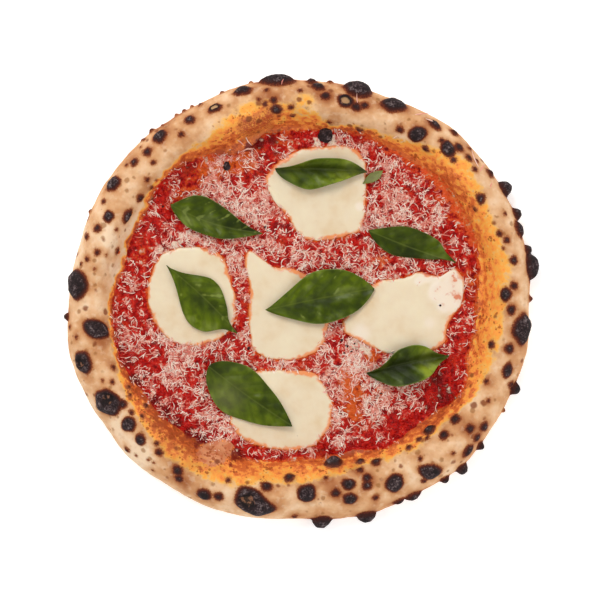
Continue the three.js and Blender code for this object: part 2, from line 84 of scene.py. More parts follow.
# Wide swellings of the dough: x, y, radius, rise.
SWELLINGS = [
    (-46, 107, 14, 6), (-30, 110, 10, 4), (-49, -97, 10, 5.5), (2, -108, 13, 4), (22, -110, 12, 4),
    (98, 72, 15, 5), (117, 38, 16, 4), (121, -20, 15, 4.5), (-115, 30, 14, 2.5), (-125, -20, 17, 3),
    (-95, -75, 15, 3.5), (-86, 96, 17, 2.5), (60, 121, 16, 2.5), (90, -100, 16, 2.5), (-20, -128, 17, 3),
]


# %% Waves, bumps and fades
def waves(rows, angle):
    """The rows' waves round the pizza, added up."""
    return sum(size * np.cos(count * (angle - math.radians(turn))) for size, count, turn in rows)


def outer_radius(angle):
    return OUTER_RADIUS + waves(OUTER_WAVES, angle)


def sauce_radius(angle):
    return SAUCE_RADIUS + waves(SAUCE_WAVES, angle)


def meridians(count):
    """Angles evenly spaced round the pizza."""
    return np.arange(count) / count * math.tau


def bump(x, y, rows):
    """The rows' soft round bumps, added up: each is x, y, radius and rise."""
    return sum(rise * np.exp(-((x - a) ** 2 + (y - b) ** 2) / size**2) for a, b, size, rise in rows)


def smooth(value, low, high):
    """0 below low, 1 above high, and an S curve between them."""
    share = np.clip((value - low) / (high - low), 0, 1)
    return share * share * (3 - 2 * share)


# %% [markdown]
# ## Working by number
#
# A finished pizza is smooth and lumpy at once, so every mesh starts as a primitive with many
# faces, and its vertices are then pushed to where the dough or cheese is, as a sculptor would do
# it. Noise makes the lumps, each kind of them a row. The largest pieces are grids wrapped round
# into a closed skin, whose rows become rings and whose columns become meridians.

# %% Helpers for meshes
def lumps(rows, x, y, z=0.0):
    """Noise in millimetres. Each row is the height of its lumps, the distance across and a seed."""
    x, y, z = np.broadcast_arrays(x, y, z)
    points = np.stack([x.ravel(), y.ravel(), z.ravel()], axis=1)
    total = np.zeros(x.shape)
    for height, across, seed in rows:
        values = [noise.noise(point) for point in (points / across + seed).tolist()]
        total += height * np.reshape(values, x.shape)
    return total


def primitive(operator, name, **sizes):
    """Adds a primitive while nothing else is selected, and names it."""
    bpy.ops.object.select_all(action="DESELECT")
    operator(**sizes)
    piece = bpy.context.object
    piece.name = piece.data.name = name
    return piece


def coordinates(piece):
    values = np.empty(len(piece.data.vertices) * 3)
    piece.data.vertices.foreach_get("co", values)
    return values.reshape(-1, 3)


def shape(piece, points):
    """Moves the vertices of a piece to points, given in millimetres."""
    piece.data.vertices.foreach_set("co", (np.asarray(points) * MM).ravel())
    piece.data.update()


def paint(piece, **values):
    """Keeps numbers on the vertices, one for each or one for all, which the material reads by name."""
    for key, value in values.items():
        layer = piece.data.attributes.new(key, "FLOAT", "POINT")
        layer.data.foreach_set("value", np.full(len(piece.data.vertices), value, dtype=np.float32))


# %% Helpers for closed pieces
def edit_all(operator, **settings):
    """Runs an operator of edit mode on the whole of the active piece."""
    bpy.ops.object.mode_set(mode="EDIT")
    bpy.ops.mesh.select_all(action="SELECT")
    operator(**settings)
    bpy.ops.object.mode_set(mode="OBJECT")


def close_seam(gap=0.001):
    """Merges vertices less than gap millimetres apart, and smooths the shading."""
    edit_all(bpy.ops.mesh.remove_doubles, threshold=gap * MM)
    bpy.ops.object.shade_smooth()


def closed_piece(name, grid, **values):
    """A closed piece from rings of points: the first and the last ring are each one point.

    The rings run from the middle of the top, out and down, to the middle of the underside. Every
    named value is kept on the vertices.
    """
    rings, around = grid.shape[0] - 1, grid.shape[1]
    piece = primitive(bpy.ops.mesh.primitive_grid_add, name,
                      x_subdivisions=around, y_subdivisions=rings, size=2)
    x, y, _ = coordinates(piece).T
    meridian = np.rint((x + 1) / 2 * around).astype(int) % around
    ring = np.rint((1 - y) / 2 * rings).astype(int)
    shape(piece, grid[ring, meridian])
    paint(piece, **{key: value[ring, meridian] for key, value in values.items()})
    close_seam()
    return piece


# %% [markdown]
# ## The crust
#
# The dough is one piece: a thin base, and the rim that the oven blew up. It could be a ring joined
# to a disc, but the two flow into each other, so one closed skin is both. It starts in the middle
# of the sauce's bed, its next rings follow the section of the rim, and the last ones run back
# under the pizza to the middle of its underside.

# %% Crust: the curve of its section
STEPS = 40  # straight pieces between two points of a curve


def spline(points, count):
    """A smooth open curve through points, as count points spaced evenly along it."""
    ends = np.vstack([points[0], points, points[-1]])
    t = np.linspace(0, 1, STEPS)[:, None]
    curve = np.vstack([
        (2 * t**3 - 3 * t**2 + 1) * b + (t**3 - 2 * t**2 + t) * (c - a) / 2
        + (3 * t**2 - 2 * t**3) * c + (t**3 - t**2) * (d - b) / 2
        for a, b, c, d in zip(ends, ends[1:], ends[2:], ends[3:])
    ])
    length = np.concatenate([[0], np.cumsum(np.linalg.norm(np.diff(curve, axis=0), axis=1))])
    even = np.linspace(0, length[-1], count)
    return np.stack([np.interp(even, length, axis) for axis in curve.T], axis=1)


# %% Crust: rings and base form
CRUST_AROUND = 960
BED_SHARES = [0, 0.35, 0.7, 0.9, 0.97]
UNDER_SHARES = [0.97, 0.85, 0.6, 0.3, 0]
SECTION_RINGS = 80
SWELL_FADE = 0.3  # swellings fade out over this share of the rim's height

rim_mm = np.array([OUTER_RADIUS - SAUCE_RADIUS + FOOT_INSET, CREST_HEIGHT])
section = spline(RIM_SECTION * rim_mm, SECTION_RINGS) / rim_mm
crust_angle = meridians(CRUST_AROUND)
foot = sauce_radius(crust_angle) - FOOT_INSET
reach = outer_radius(crust_angle)
crest = CREST_HEIGHT + waves(CREST_WAVES, crust_angle)


def crust_rings():
    """Radius and height of every ring of the crust, each a row of one value per meridian."""
    rows = [(share * foot, np.full(CRUST_AROUND, BASE_THICKNESS)) for share in BED_SHARES]
    low = RIM_SECTION[0][1]
    for u, v in section:
        radius = foot + (reach - foot) * u
        x, y = radius * np.cos(crust_angle), radius * np.sin(crust_angle)
        height = BASE_THICKNESS + (v - low) / (1 - low) * (crest - BASE_THICKNESS)
        risen = height + smooth(v, low, low + SWELL_FADE) * bump(x, y, SWELLINGS)
        rows.append((radius, np.maximum(risen, 0)))
    edge = rows[-1][0]
    rows += [(share * edge, np.zeros(CRUST_AROUND)) for share in UNDER_SHARES]
    return np.array(rows).transpose(1, 0, 2)


crust_r, crust_z = crust_rings()
dough = np.stack([crust_r * np.cos(crust_angle), crust_r * np.sin(crust_angle), crust_z], axis=2)
x, y, z = np.moveaxis(dough, 2, 0)  # they look into the dough, and follow all that is done to it
RING_OF_EDGE = len(BED_SHARES) + int(np.argmax(section[:, 0]))
print("The crust has", dough.shape[0], "rings; its widest is ring", RING_OF_EDGE)


def facing(grid):
    """Unit normals, pointing out, of a closed grid of rings."""
    along = np.roll(grid, -1, axis=1) - np.roll(grid, 1, axis=1)
    down = np.gradient(grid, axis=0)
    out = np.cross(down, along)
    return out / np.maximum(np.linalg.norm(out, axis=2, keepdims=True), 1e-9)


# %% [markdown]
# Two bubbles of dough came up through the sauce, the upper one in two parts: rows as for the
# swellings. They lift the bed as well as the foot of the rim.

# %% Crust: bubbles in the sauce
BUBBLES = [(-44, 101, 9, 4), (-34, 104, 6, 2), (-49, -94, 7.5, 4)]

top_side = (np.arange(len(dough)) <= RING_OF_EDGE)[:, None]
dough[..., 2] += top_side * bump(x, y, BUBBLES)

# %% [markdown]
# Risen dough is never even. Slow noise swells and sinks it by about a millimetre, and faster noise
# gives it the small dents of air bubbles under the skin. Both fade out under the sauce and on the
# flat underside.

# %% Crust: uneven dough
RISEN = [(1.1, 24, 0), (0.45, 9, 3.1), (0.16, 3.2, 7.7)]

on_rim = smooth(z, 0.2, 5) * smooth(crust_r - foot, -2, 8)
dough += facing(dough) * (on_rim * lumps(RISEN, x, y, z))[..., None]
dough_out = facing(dough)

# %% [markdown]
# ## Blisters
#
# Where the dough's skin was thin, the flame blew it into bubbles and charred them. Each is a row:
# where it is seen from above, half its length and half its width, and how far it is turned from
# the rim's own line. A blister on the outer side stands out further than one on top.

# %% Blisters: rows
BLISTERS = [
    (-15, 140, 11, 4.8, 0), (-37, 133, 6, 3.6, 0), (-54, 122, 4.5, 3.2, 0), (-89, 104, 5, 4.2, 0),
    (-119, 74, 5.2, 4.4, 0), (-121, 53, 3.8, 3.2, 0), (-110, 53.5, 4.4, 3, 0), (-142, 10, 9.5, 7.5, 0),
    (-149.5, -11, 2.6, 2.2, 0), (-129, -19, 9, 5.6, 55), (-138, -40, 7.2, 5.8, 0), (-122, -65, 9, 7.6, 0),
    (-108, -79, 5, 4.8, 0), (-101, -89, 3.8, 3.2, 0), (-61, -123, 4.5, 3.9, 0), (-29.5, -129, 13, 8, -15),
    (4.5, -123, 6, 5.8, 0), (14, -141, 6.5, 4.4, 0), (21.5, -103.5, 5.6, 4.6, 20),
    (30, -116, 4.6, 3.4, -20), (32, -126, 4.5, 4.1, 0), (43, -138, 6.8, 4, 0), (63, -128.5, 4, 2.2, 0),
    (60, -116, 6.4, 6.1, 0), (82.5, -108.5, 7, 5.1, -45), (82.5, -83, 3.9, 3.5, 0),
    (92.5, -114.5, 3.4, 2.8, 0), (107, -95.5, 4.2, 2.9, 0), (103.5, -107.5, 4.4, 3.6, 0),
    (72, -125, 5, 3, 0), (116, -94.5, 3.2, 2.8, 0), (139, -58, 3.8, 3.6, 0), (132, -44.5, 5, 3.3, 0),
    (141.5, -18.5, 10, 7, 0), (130, 3, 4.8, 3.2, 0), (148, 22.5, 8, 5, 0), (147, 32, 3.2, 3, 0),
    (139.5, 45.5, 5.2, 3.4, 0), (138.5, 55.5, 4.3, 3.4, 0), (132.5, 72, 5.2, 4.7, 0),
    (93.5, 96.5, 5.6, 4.4, 0), (74.5, 105.5, 5.6, 4.8, 60), (85.5, 111.5, 4.6, 3, 0),
    (59.5, 124, 8.6, 5.6, 30), (36.5, 134, 9, 6.2, 0), (28.5, 126.5, 5.4, 4.2, 0),
    (11.5, 135.5, 4.5, 3.2, -20),
]
# Small scorched spots, with hardly any height on top: x, y, half width.
SPOTS = [
    (-100, 102, 1.5), (-94.7, 108.5, 1.9), (-88, 111, 1.5), (-79.4, 118, 1.4), (-74.2, 120.6, 1.6),
    (-69.8, 123.8, 1.5), (-63.4, 124.5, 1.7), (-32, 140, 1.4), (-70.4, 114.2, 3.1), (-101.5, 97, 1.2),
    (-50, 132.5, 1.6), (-75, 105, 2), (-95, 108, 2), (-100.5, 102, 1.5), (-97, 94, 2.6), (-93, 87.5, 1.8),
    (-105.5, 87.5, 2.4), (-110.5, 86, 1.6), (-97, 76.5, 1.8), (-95, 72, 1.6), (-102, 65, 2.5),
    (-95, 65, 1.5), (-125, 62.5, 1.8), (-134, 56.5, 1.6), (-128, 45, 2.3), (-116.5, 45, 1.5),
    (-135.5, 40, 2), (-128.5, 30, 2), (-117, 31.5, 2), (-123, 29, 1.2), (-135, 26, 1.8), (-139, 23, 1.5),
    (-130, 20, 1.3), (-146.5, -17, 1.6), (-142, -23, 1.6), (-118.5, -43, 1.8), (-125.5, -51, 1.4),
    (-118.5, -52, 1.8), (-112.5, -66, 2.7), (-109, -55.5, 1.6), (-108, -60.5, 1.6), (-98, -67.5, 1.9),
    (-107, -71, 1.8), (-100, -74, 1.6), (-110, -95, 2), (-91, -91, 1.8), (-89.5, -96.5, 2.3),
    (-104, -99, 1.3), (-96.5, -101.5, 1.3), (-93, -103.5, 1.3), (-93.5, -108, 1.3), (-77.5, -108, 3.2),
    (-76.5, -113, 2.6), (-52, -124.5, 2.6), (-45.5, -114.5, 1.8), (-21, -118, 3), (-7, -112.5, 2.8),
    (-4, -138, 1.8), (-7.5, -101, 2.8), (16.5, -112.5, 1.7), (23, -122, 2.8), (42.5, -112.5, 2.8),
    (42.5, -118, 2.8), (38.5, -108, 2.2), (38.5, -103, 2.4), (48, -103, 2.7), (48, -125, 2.1),
    (69, -94, 2), (76, -88.5, 1.9), (76, -101, 1.8), (79, -115, 2), (81, -88, 1.8), (91, -85.5, 2.8),
    (98.5, -76, 2.9), (108, -81.5, 2.7), (117, -80.5, 3), (112.5, -88, 2.6), (97, -96.5, 1.6),
    (133, -44, 2.4), (134.5, -53.5, 2.1), (130.5, -70.5, 1.7), (119.5, -63.5, 1.6), (118, -51.5, 1.8),
    (133, -31, 2.9), (147, 1, 2.1), (135.5, 25, 2.5), (135.5, 8.5, 2.4), (134, -6, 2.8), (114.5, 64, 2.8),
    (111.5, 57.5, 1.7), (130, 55, 1.6), (131, 37.5, 2.2), (129, 33, 1.4), (126.5, 42, 2),
    (121.5, -28.5, 2.2), (35.5, 122.5, 2.8), (41, 123, 2.4), (63, 108, 2.2), (98.5, 106, 2.6),
    (80, 96, 2.2), (101, 97, 2.8), (97, 89, 2), (90, 101, 1.9), (108, 96, 1.7), (107, 90.5, 2.2),
    (112, 88.5, 1.6), (110.5, 83, 1.9), (121, 80.5, 2.8), (16.5, 129, 2.8), (7, 139.5, 3), (19, 139, 2),
    (0, 133, 1.8), (-21, 133, 1.8), (-26, 127, 1.6), (-16.5, 127, 2.2), (-15.5, 121, 3.2),
    (-22.5, 124, 1.8), (-6, 122.5, 1.9), (-5, 117.5, 1.8), (18.5, 114, 1.8), (37.5, 109, 2.2),
]
# Blisters that burst: x, y, half length and half width of the hollow, and how pale it is inside.
BURST = [
    (-33, -127, 6, 4, 0.12), (-138, -40, 3.6, 2.8, 0), (-121, -63, 4, 3.2, 0),
    (28.5, 126.5, 3.4, 2.6, 0.7), (-54, 122, 2.8, 1.7, 1),
]
# Sizes of a blister, of a spot and of a hollow, in half widths.
SIDE_AND_TOP_RISE = [1.3, 0.55]
SPOT_SIDE_AND_TOP_RISE = [1.1, 0.25]
BLISTER_LIFT = 0.1  # how far over the dough the point lies that its row gives
BLISTER_DEPTH = 1.6
HOLLOW_DEPTH = 0.85
ROUNDNESS = 0.7  # 0.5 would make half a ball, and 1 a gentler mound
OUTLINE = (0.26, 0.9)  # the noise in an outline: height and distance across
CRISP = 1.4  # how much sharper the edge of a blister's char is than that of a spot
SMALL_SPOT = 2.6  # spots with a smaller half width are brown more than black

# %% [markdown]
# To place one, the ring is found where something that stands out by its lift would be seen at the
# given point. Then every vertex near it gets its place across the blister, from 0 in the middle to
# 1 at the edge, with a little noise in the outline, and is pushed out along the dough's own facing.
# Each vertex also keeps how far inside the nearest char it lies, in millimetres. The material turns
# that into black char and its brown edge.

# %% Blisters: raise them and note the char
FAR = -12.0
CRACKS = [(0.4, 1.9, 5.5)]

char = np.full(dough.shape[:2], FAR)
raised = np.zeros(dough.shape[:2])
hollow = np.zeros(dough.shape[:2])
top_rings = slice(len(BED_SHARES) - 1, RING_OF_EDGE + 1)


def place_on_crust(px, py, lift):
    """The vertex of the crust over which something that stands out by lift shows at (px, py)."""
    column = int(round(math.atan2(py, px) / math.tau * CRUST_AROUND)) % CRUST_AROUND
    outward = np.array([math.cos(crust_angle[column]), math.sin(crust_angle[column]), 0])
    seen = dough[top_rings, column] @ outward + lift * (dough_out[top_rings, column] @ outward)
    found = seen >= math.hypot(px, py)
    return top_rings.start + int(np.argmax(found) if found.any() else len(seen) - 1), column


def across_blister(px, py, long, wide, turn=0, lift=0):
    """How far each vertex lies across an ellipse on the crust, and how far up the dough faces there.

    The first is 0 in the middle and 1 on the edge, and the second is 1 where the dough is level.
    """
    row, column = place_on_crust(px, py, lift)
    out, spin, lean = dough_out[row, column], crust_angle[column], math.radians(turn)
    along = np.array([-math.sin(spin), math.cos(spin), 0])
    axis = math.cos(lean) * along + math.sin(lean) * np.cross(out, along)
    offset = dough - dough[row, column]
    a, b = offset @ axis / long, offset @ np.cross(out, axis) / wide
    c = offset @ out / (BLISTER_DEPTH * wide)
    share = np.sqrt(a * a + b * b + c * c)
    near = share < 3
    around = [side[near] / (share[near] + 1e-6) for side in (a, b)]
    share[near] *= 1 + lumps([(*OUTLINE, 0.37 * row + 0.11 * column)], *around)
    return share, max(0.0, out[2])


for px, py, long, wide, turn in BLISTERS:
    share, upward = across_blister(px, py, long, wide, turn, BLISTER_LIFT * wide)
    rise = wide * np.interp(upward, [0, 1], SIDE_AND_TOP_RISE)
    raised = np.maximum(raised, rise * np.clip(1.04 - share**2, 0, 1) ** ROUNDNESS)
    wider = 0.2 * max(0.0, 1 - 1.5 * upward)  # char reaches further round one on the outer side
    char = np.maximum(char, CRISP * (1 + wider - share) * min(long, wide))
for px, py, wide in SPOTS:
    share, upward = across_blister(px, py, 1.1 * wide, wide)
    rise = wide * np.interp(upward, [0, 1], SPOT_SIDE_AND_TOP_RISE)
    raised = np.maximum(raised, rise * np.clip(1 - share**2, 0, 1) ** ROUNDNESS)
    char = np.maximum(char, (1 - share) * wide - 0.7 * max(0, SMALL_SPOT - wide))
for px, py, long, wide, pale in BURST:
    share, _ = across_blister(px, py, long, wide)
    hollow = np.maximum(hollow, (1 + pale) * smooth(1.15 - share, 0, 0.5))
    raised -= HOLLOW_DEPTH * wide * smooth(1.1 - share, 0, 0.45)

cracks = lumps(CRACKS, x, y, z) * smooth(char, 0, 2)
dough += dough_out * (raised + cracks)[..., None]
dough[..., 2] = np.maximum(z, 0)
print(len(BLISTERS), "blisters and", len(SPOTS), "spots; the highest is", round(raised.max(), 1), "mm")

# %% [markdown]
# ## Oil and browning
#
# Oil and tomato soak into the foot of the rim and stain it, red at the sauce, then orange, then
# yellow. Each row of EDGES is for an angle round the pizza: where the sauce ends, where the stain
# ends, how red the stain starts, and how far the orange goes into the sauce. The tables below it
# are bumps, each with its strength in the place of a rise. Browning is strongest near the char.

# %% Crust: stains
EDGES = np.array([
    (-180, 121, 123.5, 1.3, 1), (-170, 121.5, 123, 1.3, 1), (-160, 121.5, 124, 1.4, 0.5),
    (-150, 117.5, 127, 1.6, 0.5), (-140, 116, 129, 1.5, 0.5), (-130, 113, 131, 1.5, 0.5),
    (-120, 111, 129, 1.25, 1), (-110, 109, 127, 1.1, 2), (-100, 106, 118, 0.8, 3), (-90, 103, 117, 1, 3),
    (-80, 103, 114, 1.2, 3), (-70, 103, 114, 1.5, 1), (-60, 111, 117, 0.8, 2), (-50, 110.5, 121, 1.1, 2),
    (-40, 113, 122, 1.5, 2), (-35, 117.5, 124, 1.3, 2), (-30, 120.5, 127, 1, 3),
    (-25, 119.5, 128, 0.9, 3), (-20, 114.5, 130, 0.9, 3), (-10, 114.5, 131, 0.8, 3),
    (0, 114, 131, 0.85, 4), (10, 118, 137, 0.75, 2), (20, 120, 133, 0.8, 8), (30, 121, 135, 0.95, 12),
    (40, 121, 139, 0.95, 12), (50, 115, 129, 0.95, 6), (60, 114, 120, 1, 6), (70, 115, 118, 1.2, 4),
    (80, 111, 114, 1.1, 2), (90, 110, 125, 0.85, 2), (100, 110, 130, 1.15, 3), (110, 111, 127, 0.9, 8),
    (120, 111, 118.5, 1, 6), (130, 115, 120, 1.3, 1), (140, 118, 120.5, 1.4, 1.5),
    (150, 114, 117.5, 1.4, 1.5), (160, 116, 118, 1.3, 1.5), (170, 115.5, 118, 1.2, 1.5),
])
OIL_PATCHES = [
    (-43, 102, 12, 0.9), (-30, 117, 9, 0.7), (3, 125, 7, 0.5), (-49, -95, 9, 0.8), (99, 70, 9, 0.5),
]
# Bubbles blushed by the sauce that ran off them, and the dry skin of the lower one.
FLUSH = [(-33, 110, 9, 1), (-22, 114, 6, 0.8), (-48, -94, 9, 0.7), (-18, 119, 4, 0.6)]
PINK = [(-56, -97, 10, 1), (-49, -94, 8, 0.5)]
# Painted shade: dark red in the creases where the sauce meets the dough and its bubbles.
CREASE_SHADE = [
    (-93, -64, 4, 1), (-86, -71.5, 4, 1), (-79, -78, 4, 1), (-71, -85, 4, 1), (-62, -90, 4, 0.9),
    (-103, -52, 4, 0.8), (-110, -40, 4, 0.8), (-38, -99, 4, 0.8), (-33, 98, 4, 1), (-26, 100.5, 3.5, 1.1),
    (-18, 103, 3.5, 1), (-70.7, 84.3, 4, 0.5), (89, -51, 6, 0.8), (83, -69.5, 4, 0.6), (94, -64, 7, 0.7),
    (-107, -50, 3.5, 0.8), (-114.5, -30.5, 3, 0.9), (-116, -20, 3, 0.6), (-42, -97, 2.5, 1),
    (-42.5, -101.5, 2.5, 0.9), (-44.5, -106, 2.5, 0.7), (-67.5, -94, 3, 0.6), (-65.5, -88, 3, 0.7),
]
# Browner (or, below 0, paler) parts of the crust.
BROWNED = [
    (50, -122, 16, 0.07), (108, -78, 18, 0.07), (15, -132, 35, 0.1), (18, -118, 12, 0.1),
    (140, 20, 40, 0.05), (128, -25, 18, 0.09), (50, 122, 12, 0.14), (22, 136, 12, 0.1),
    (-60, -122, 30, -0.06), (-108, -84, 13, -0.12), (-24, -122, 11, -0.14), (-98, 90, 24, 0.06),
    (-20, 130, 30, 0.1), (-121, 47, 13, -0.16), (-121, 22, 10, -0.08), (-128, -16, 14, 0.06),
    (-92, -80, 8, 0.25), (-80, -91, 8, 0.3), (-67, -101, 8, 0.3), (-54, -107, 8, 0.25),
    (-123, 41, 16, -0.08), (78, -101, 14, -0.08), (-33, -121, 12, -0.16), (-105, -80, 14, -0.06),
    (-105, 66, 13, -0.1), (-89, 88, 11, -0.08), (-85, 107, 14, 0.12), (-138, 2, 9, -0.08),
    (-99, -99, 13, -0.32), (-120, -66, 12, -0.08), (93, -93, 10, -0.08), (33, 120, 10, -0.06),
    (-68, -122, 10, 0.12), (68, 118, 10, 0.12), (-76, -101, 15, 0.3), (-95, -77, 10, 0.25),
    (-122, -30, 13, 0.2), (27, -106, 9, 0.2),
]
# Where seared specks crowd together.
SEARED = [
    (37, -108, 11, 0.3), (-36, 113, 12, 0.2), (-49, -97, 10, 0.2), (-84, -90, 16, 0.28),
    (104, 62, 14, 0.1), (-108, -62, 12, 0.25), (-18, -114, 14, 0.2), (-62, -108, 12, 0.2),
    (121, -12, 13, 0.25), (126, 25, 12, 0.12),
]
STREAKS = [(2.2, 7, 6.1), (1.4, 2.6, 2.9)]  # how far the stain and its colours reach out and in
OIL_AT_END = 0.35
BROWN_AT_CHAR = 0.3
BROWN_REACH = 3  # millimetres over which it fades


def edge_at(angle):
    """Every column of EDGES but the first, at angles in radians."""
    return [np.interp(np.degrees(angle), EDGES[:, 0], column, period=360) for column in EDGES.T[1:]]


sauce_ends, stain_ends, redness, _ = edge_at(np.arctan2(y, x))
radius = np.hypot(x, y) + lumps(STREAKS, x, y, z)
through = np.clip((radius - sauce_ends) / (stain_ends - sauce_ends), -0.2, 1)
oil = (redness + (OIL_AT_END - redness) * through) * (1 - smooth(radius - stain_ends, -3, 3))
oil = np.maximum(oil, bump(x, y, OIL_PATCHES))
under = smooth(len(BED_SHARES) + SECTION_RINGS - np.arange(len(dough)), 4, 16)[:, None]
stains = {"deep": CREASE_SHADE, "flush": FLUSH, "seared": SEARED, "pink": PINK}

# %% Crust: make the piece
crust = closed_piece(
    "baked_crust", dough, char=char, hollow=hollow,
    oil=np.clip(oil, 0, 1.6) * under,
    toast=BROWN_AT_CHAR * np.exp(np.minimum(char, 0) / BROWN_REACH) + bump(x, y, BROWNED),
    **{key: bump(x, y, rows) * under for key, rows in stains.items()},
)
print("The crust has", len(crust.data.polygons), "faces")

# %% [markdown]
# ## Looking up a height
#
# Everything that lies on the pizza has to know how high it is there. A reader takes it from a
# finished grid: from the angle comes the meridian, and along that meridian the height is
# interpolated between rings.

# %% Heights on a grid
def height_reader(grid, middle=(0, 0)):
    """A function of x and y that gives the height on a grid of rings round a middle."""
    radii = np.hypot(grid[..., 0] - middle[0], grid[..., 1] - middle[1])
    radii = np.maximum.accumulate(radii, axis=0)
    around = grid.shape[1]

    def read(px, py):
        dx, dy = np.ravel(px) - middle[0], np.ravel(py) - middle[1]
        column = np.rint(np.arctan2(dy, dx) / math.tau * around).astype(int) % around
        distance = np.hypot(dx, dy)
        found = np.empty(len(dx))
        for i in np.unique(column):
            here = column == i
            found[here] = np.interp(distance[here], radii[:, i], grid[:, i, 2])
        return found

    return read


dough_height = height_reader(dough[:RING_OF_EDGE + 1])

# %% [markdown]
# ## Mozzarella pools: outlines
#
# The cheese melted into five flat pools. Each is drawn from a middle, through a few points of its
# edge. The outlines come before the sauce, because the sauce is stained round them.

# %% Pools: outlines
POOLS = {
    "mozzarella_top": ((12, 70), [(-3, 95), (28, 99), (41, 90), (42, 66), (38, 45), (13, 38.5),
                                  (0, 42), (-8, 54), (-18, 66), (-21, 80)]),
    "mozzarella_left": ((-70, 2), [(-69.5, 34), (-52, 30), (-45, 14), (-41, -6), (-47, -21),
                                   (-65, -29), (-83, -26), (-94, -12), (-98, 4), (-94, 20),
                                   (-85, 31.5)]),
    "mozzarella_middle": ((-9, -8), [(-32, 31), (-24, 26), (-16, 21), (-3, 19.5), (12, 9),
                                     (19, -4), (18, -17), (13, -30), (0, -37.5), (-19, -38),
                                     (-30, -30), (-33, -10), (-32, 9), (-35.5, 24)]),
    "mozzarella_right": ((68, -8), [(48, 11), (67, 14), (76, 17.5), (89, 15), (99, 20), (105, 12),
                                    (103, -3), (96, -13), (91, -29), (74, -35), (57, -34),
                                    (42, -28), (28.5, -20), (28, -13), (35, -3)]),
    "mozzarella_bottom": ((-13, -71), [(-26, -46), (2, -45.5), (13, -51), (20, -66), (20, -77),
                                       (15, -87), (7, -94.5), (-7, -96.5), (-21, -95), (-35, -90),
                                       (-45, -78), (-42, -61), (-35, -50)]),
}
POOL_ANGLES = meridians(180)
CURVE_POINTS = 1200
POOL_EDGE_WAVES = [(0.9, 7, 0), (0.5, 2.6, 4.2)]


def pool_radii(middle, edge):
    """Distance from a pool's middle to its edge, at POOL_ANGLES."""
    closed = np.array([edge[-1], *edge, edge[0], edge[1]], dtype=float)
    dx, dy = (spline(closed, CURVE_POINTS) - middle).T
    radii = np.interp(POOL_ANGLES, np.arctan2(dy, dx), np.hypot(dx, dy), period=math.tau)
    px, py = middle[0] + radii * np.cos(POOL_ANGLES), middle[1] + radii * np.sin(POOL_ANGLES)
    return radii + lumps(POOL_EDGE_WAVES, px, py)


POOL_RADII = {name: pool_radii(middle, edge) for name, (middle, edge) in POOLS.items()}


def past_edge_of(name, px, py):
    """Distance in millimetres beyond the edge of a pool, negative inside it."""
    middle, _ = POOLS[name]
    dx, dy = px - middle[0], py - middle[1]
    return np.hypot(dx, dy) - np.interp(np.arctan2(dy, dx), POOL_ANGLES, POOL_RADII[name], period=math.tau)


def past_pool(px, py):
    """Distance in millimetres beyond the edge of the nearest pool, negative inside it."""
    return np.min([past_edge_of(name, px, py) for name in POOLS], axis=0)


# %% [markdown]
# ## The tomato sauce
#
# Crushed tomato is spread from the middle outwards, lumpy and wet. It is another closed skin, and a
# flat one: its rings above follow the lumps, and beyond the foot of the rim they climb the dough
# and then dive under its surface, so that the sauce's edge is where the two surfaces cross, as
# ragged as their noise.

# %% Sauce: form
SAUCE_AROUND = 720
SAUCE_RINGS = 96
CLIMB = 7  # how far the sauce's sheet goes on past its edge, under the dough
RAGGED = [(1.3, 6, 6), (1, 2.2, 2.2)]  # the waves of its edge
PULP = [(0.3, 5.5, 1.7), (0.2, 2.2, 8.3)]
FILM = 1.3  # how thick it lies on the foot of the rim
DIVE = 2.1  # how far it sinks from there, past its edge
CLEARED = 14  # how far a bubble of dough pushes the edge away
SHEET = 0.7  # thickness of the sheet under the dough
SUNK = 1  # how far its flat underside lies inside the dough
# Where oil gathers on it, and where thin milky cheese ran out over it.
OILY = [
    (-58, 82, 12, 0.9), (-54, 87, 6, 0.3), (33, -58, 10, 1), (35, -73, 7, 1), (46, -36, 6, 1),
    (-36, 92, 12, 1), (-10, 104, 7, 0.7), (-76, 68, 9, 0.6), (103, 62, 13, 0.8), (93, 78, 12, 0.8),
    (112, 12, 9, 0.8), (30, -46, 7, 0.9), (52, -62, 6, 0.8), (34, -30, 5, 0.6), (52, 26, 6, 0.8),
    (-100, 30, 8, 0.4),
]
MILK = [
    (36, -28, 5, 1.1), (43, -31, 4, 0.7), (-88, 33, 4, 0.8), (-80, 36, 4, 0.6), (10, 101, 5, 0.6),
    (22, 102, 5, 0.6),
]

sauce_angle = meridians(SAUCE_AROUND)
sauce_r = np.linspace(0, 1, SAUCE_RINGS)[:, None] * (sauce_radius(sauce_angle) + CLIMB)
x, y = sauce_r * np.cos(sauce_angle), sauce_r * np.sin(sauce_angle)
ripple = np.sin(x / 9 + 1.3) * np.sin(y / 11 + 0.4) + np.sin((x - y) / 6.5) / 2
pulp = lumps(PULP, x, y)
level = SAUCE_TOP - SAUCE_DIP * (0.5 + ripple / 3) + smooth(past_pool(x, y), -1, 3) * pulp
bubbles = bump(x, y, [(a, b, size, CLEARED) for a, b, size, _ in BUBBLES])
past_edge = sauce_r - edge_at(sauce_angle)[0] + lumps(RAGGED, x, y) + bubbles
film = FILM - DIVE * smooth(past_edge, -7, 4)
climbing = dough_height(x, y).reshape(x.shape) + film + 0.6 * pulp * smooth(film, 0, 1)
sauce_z = climbing + np.maximum(level - climbing, 0) * smooth(film, 0, 0.5)
sauce_top = np.stack([x, y, sauce_z], axis=2)

# The underside follows the top back under the dough, and then runs flat to the middle.
back_under = sauce_top[-2:-20:-2] - [0, 0, SHEET]
bottom = [sauce_top[-1] * [share, share, 0] + [0, 0, BASE_THICKNESS - SUNK] for share in (0.75, 0.4, 0)]
sauce_grid = np.concatenate([sauce_top, back_under, bottom])
sauce_height = height_reader(sauce_top)

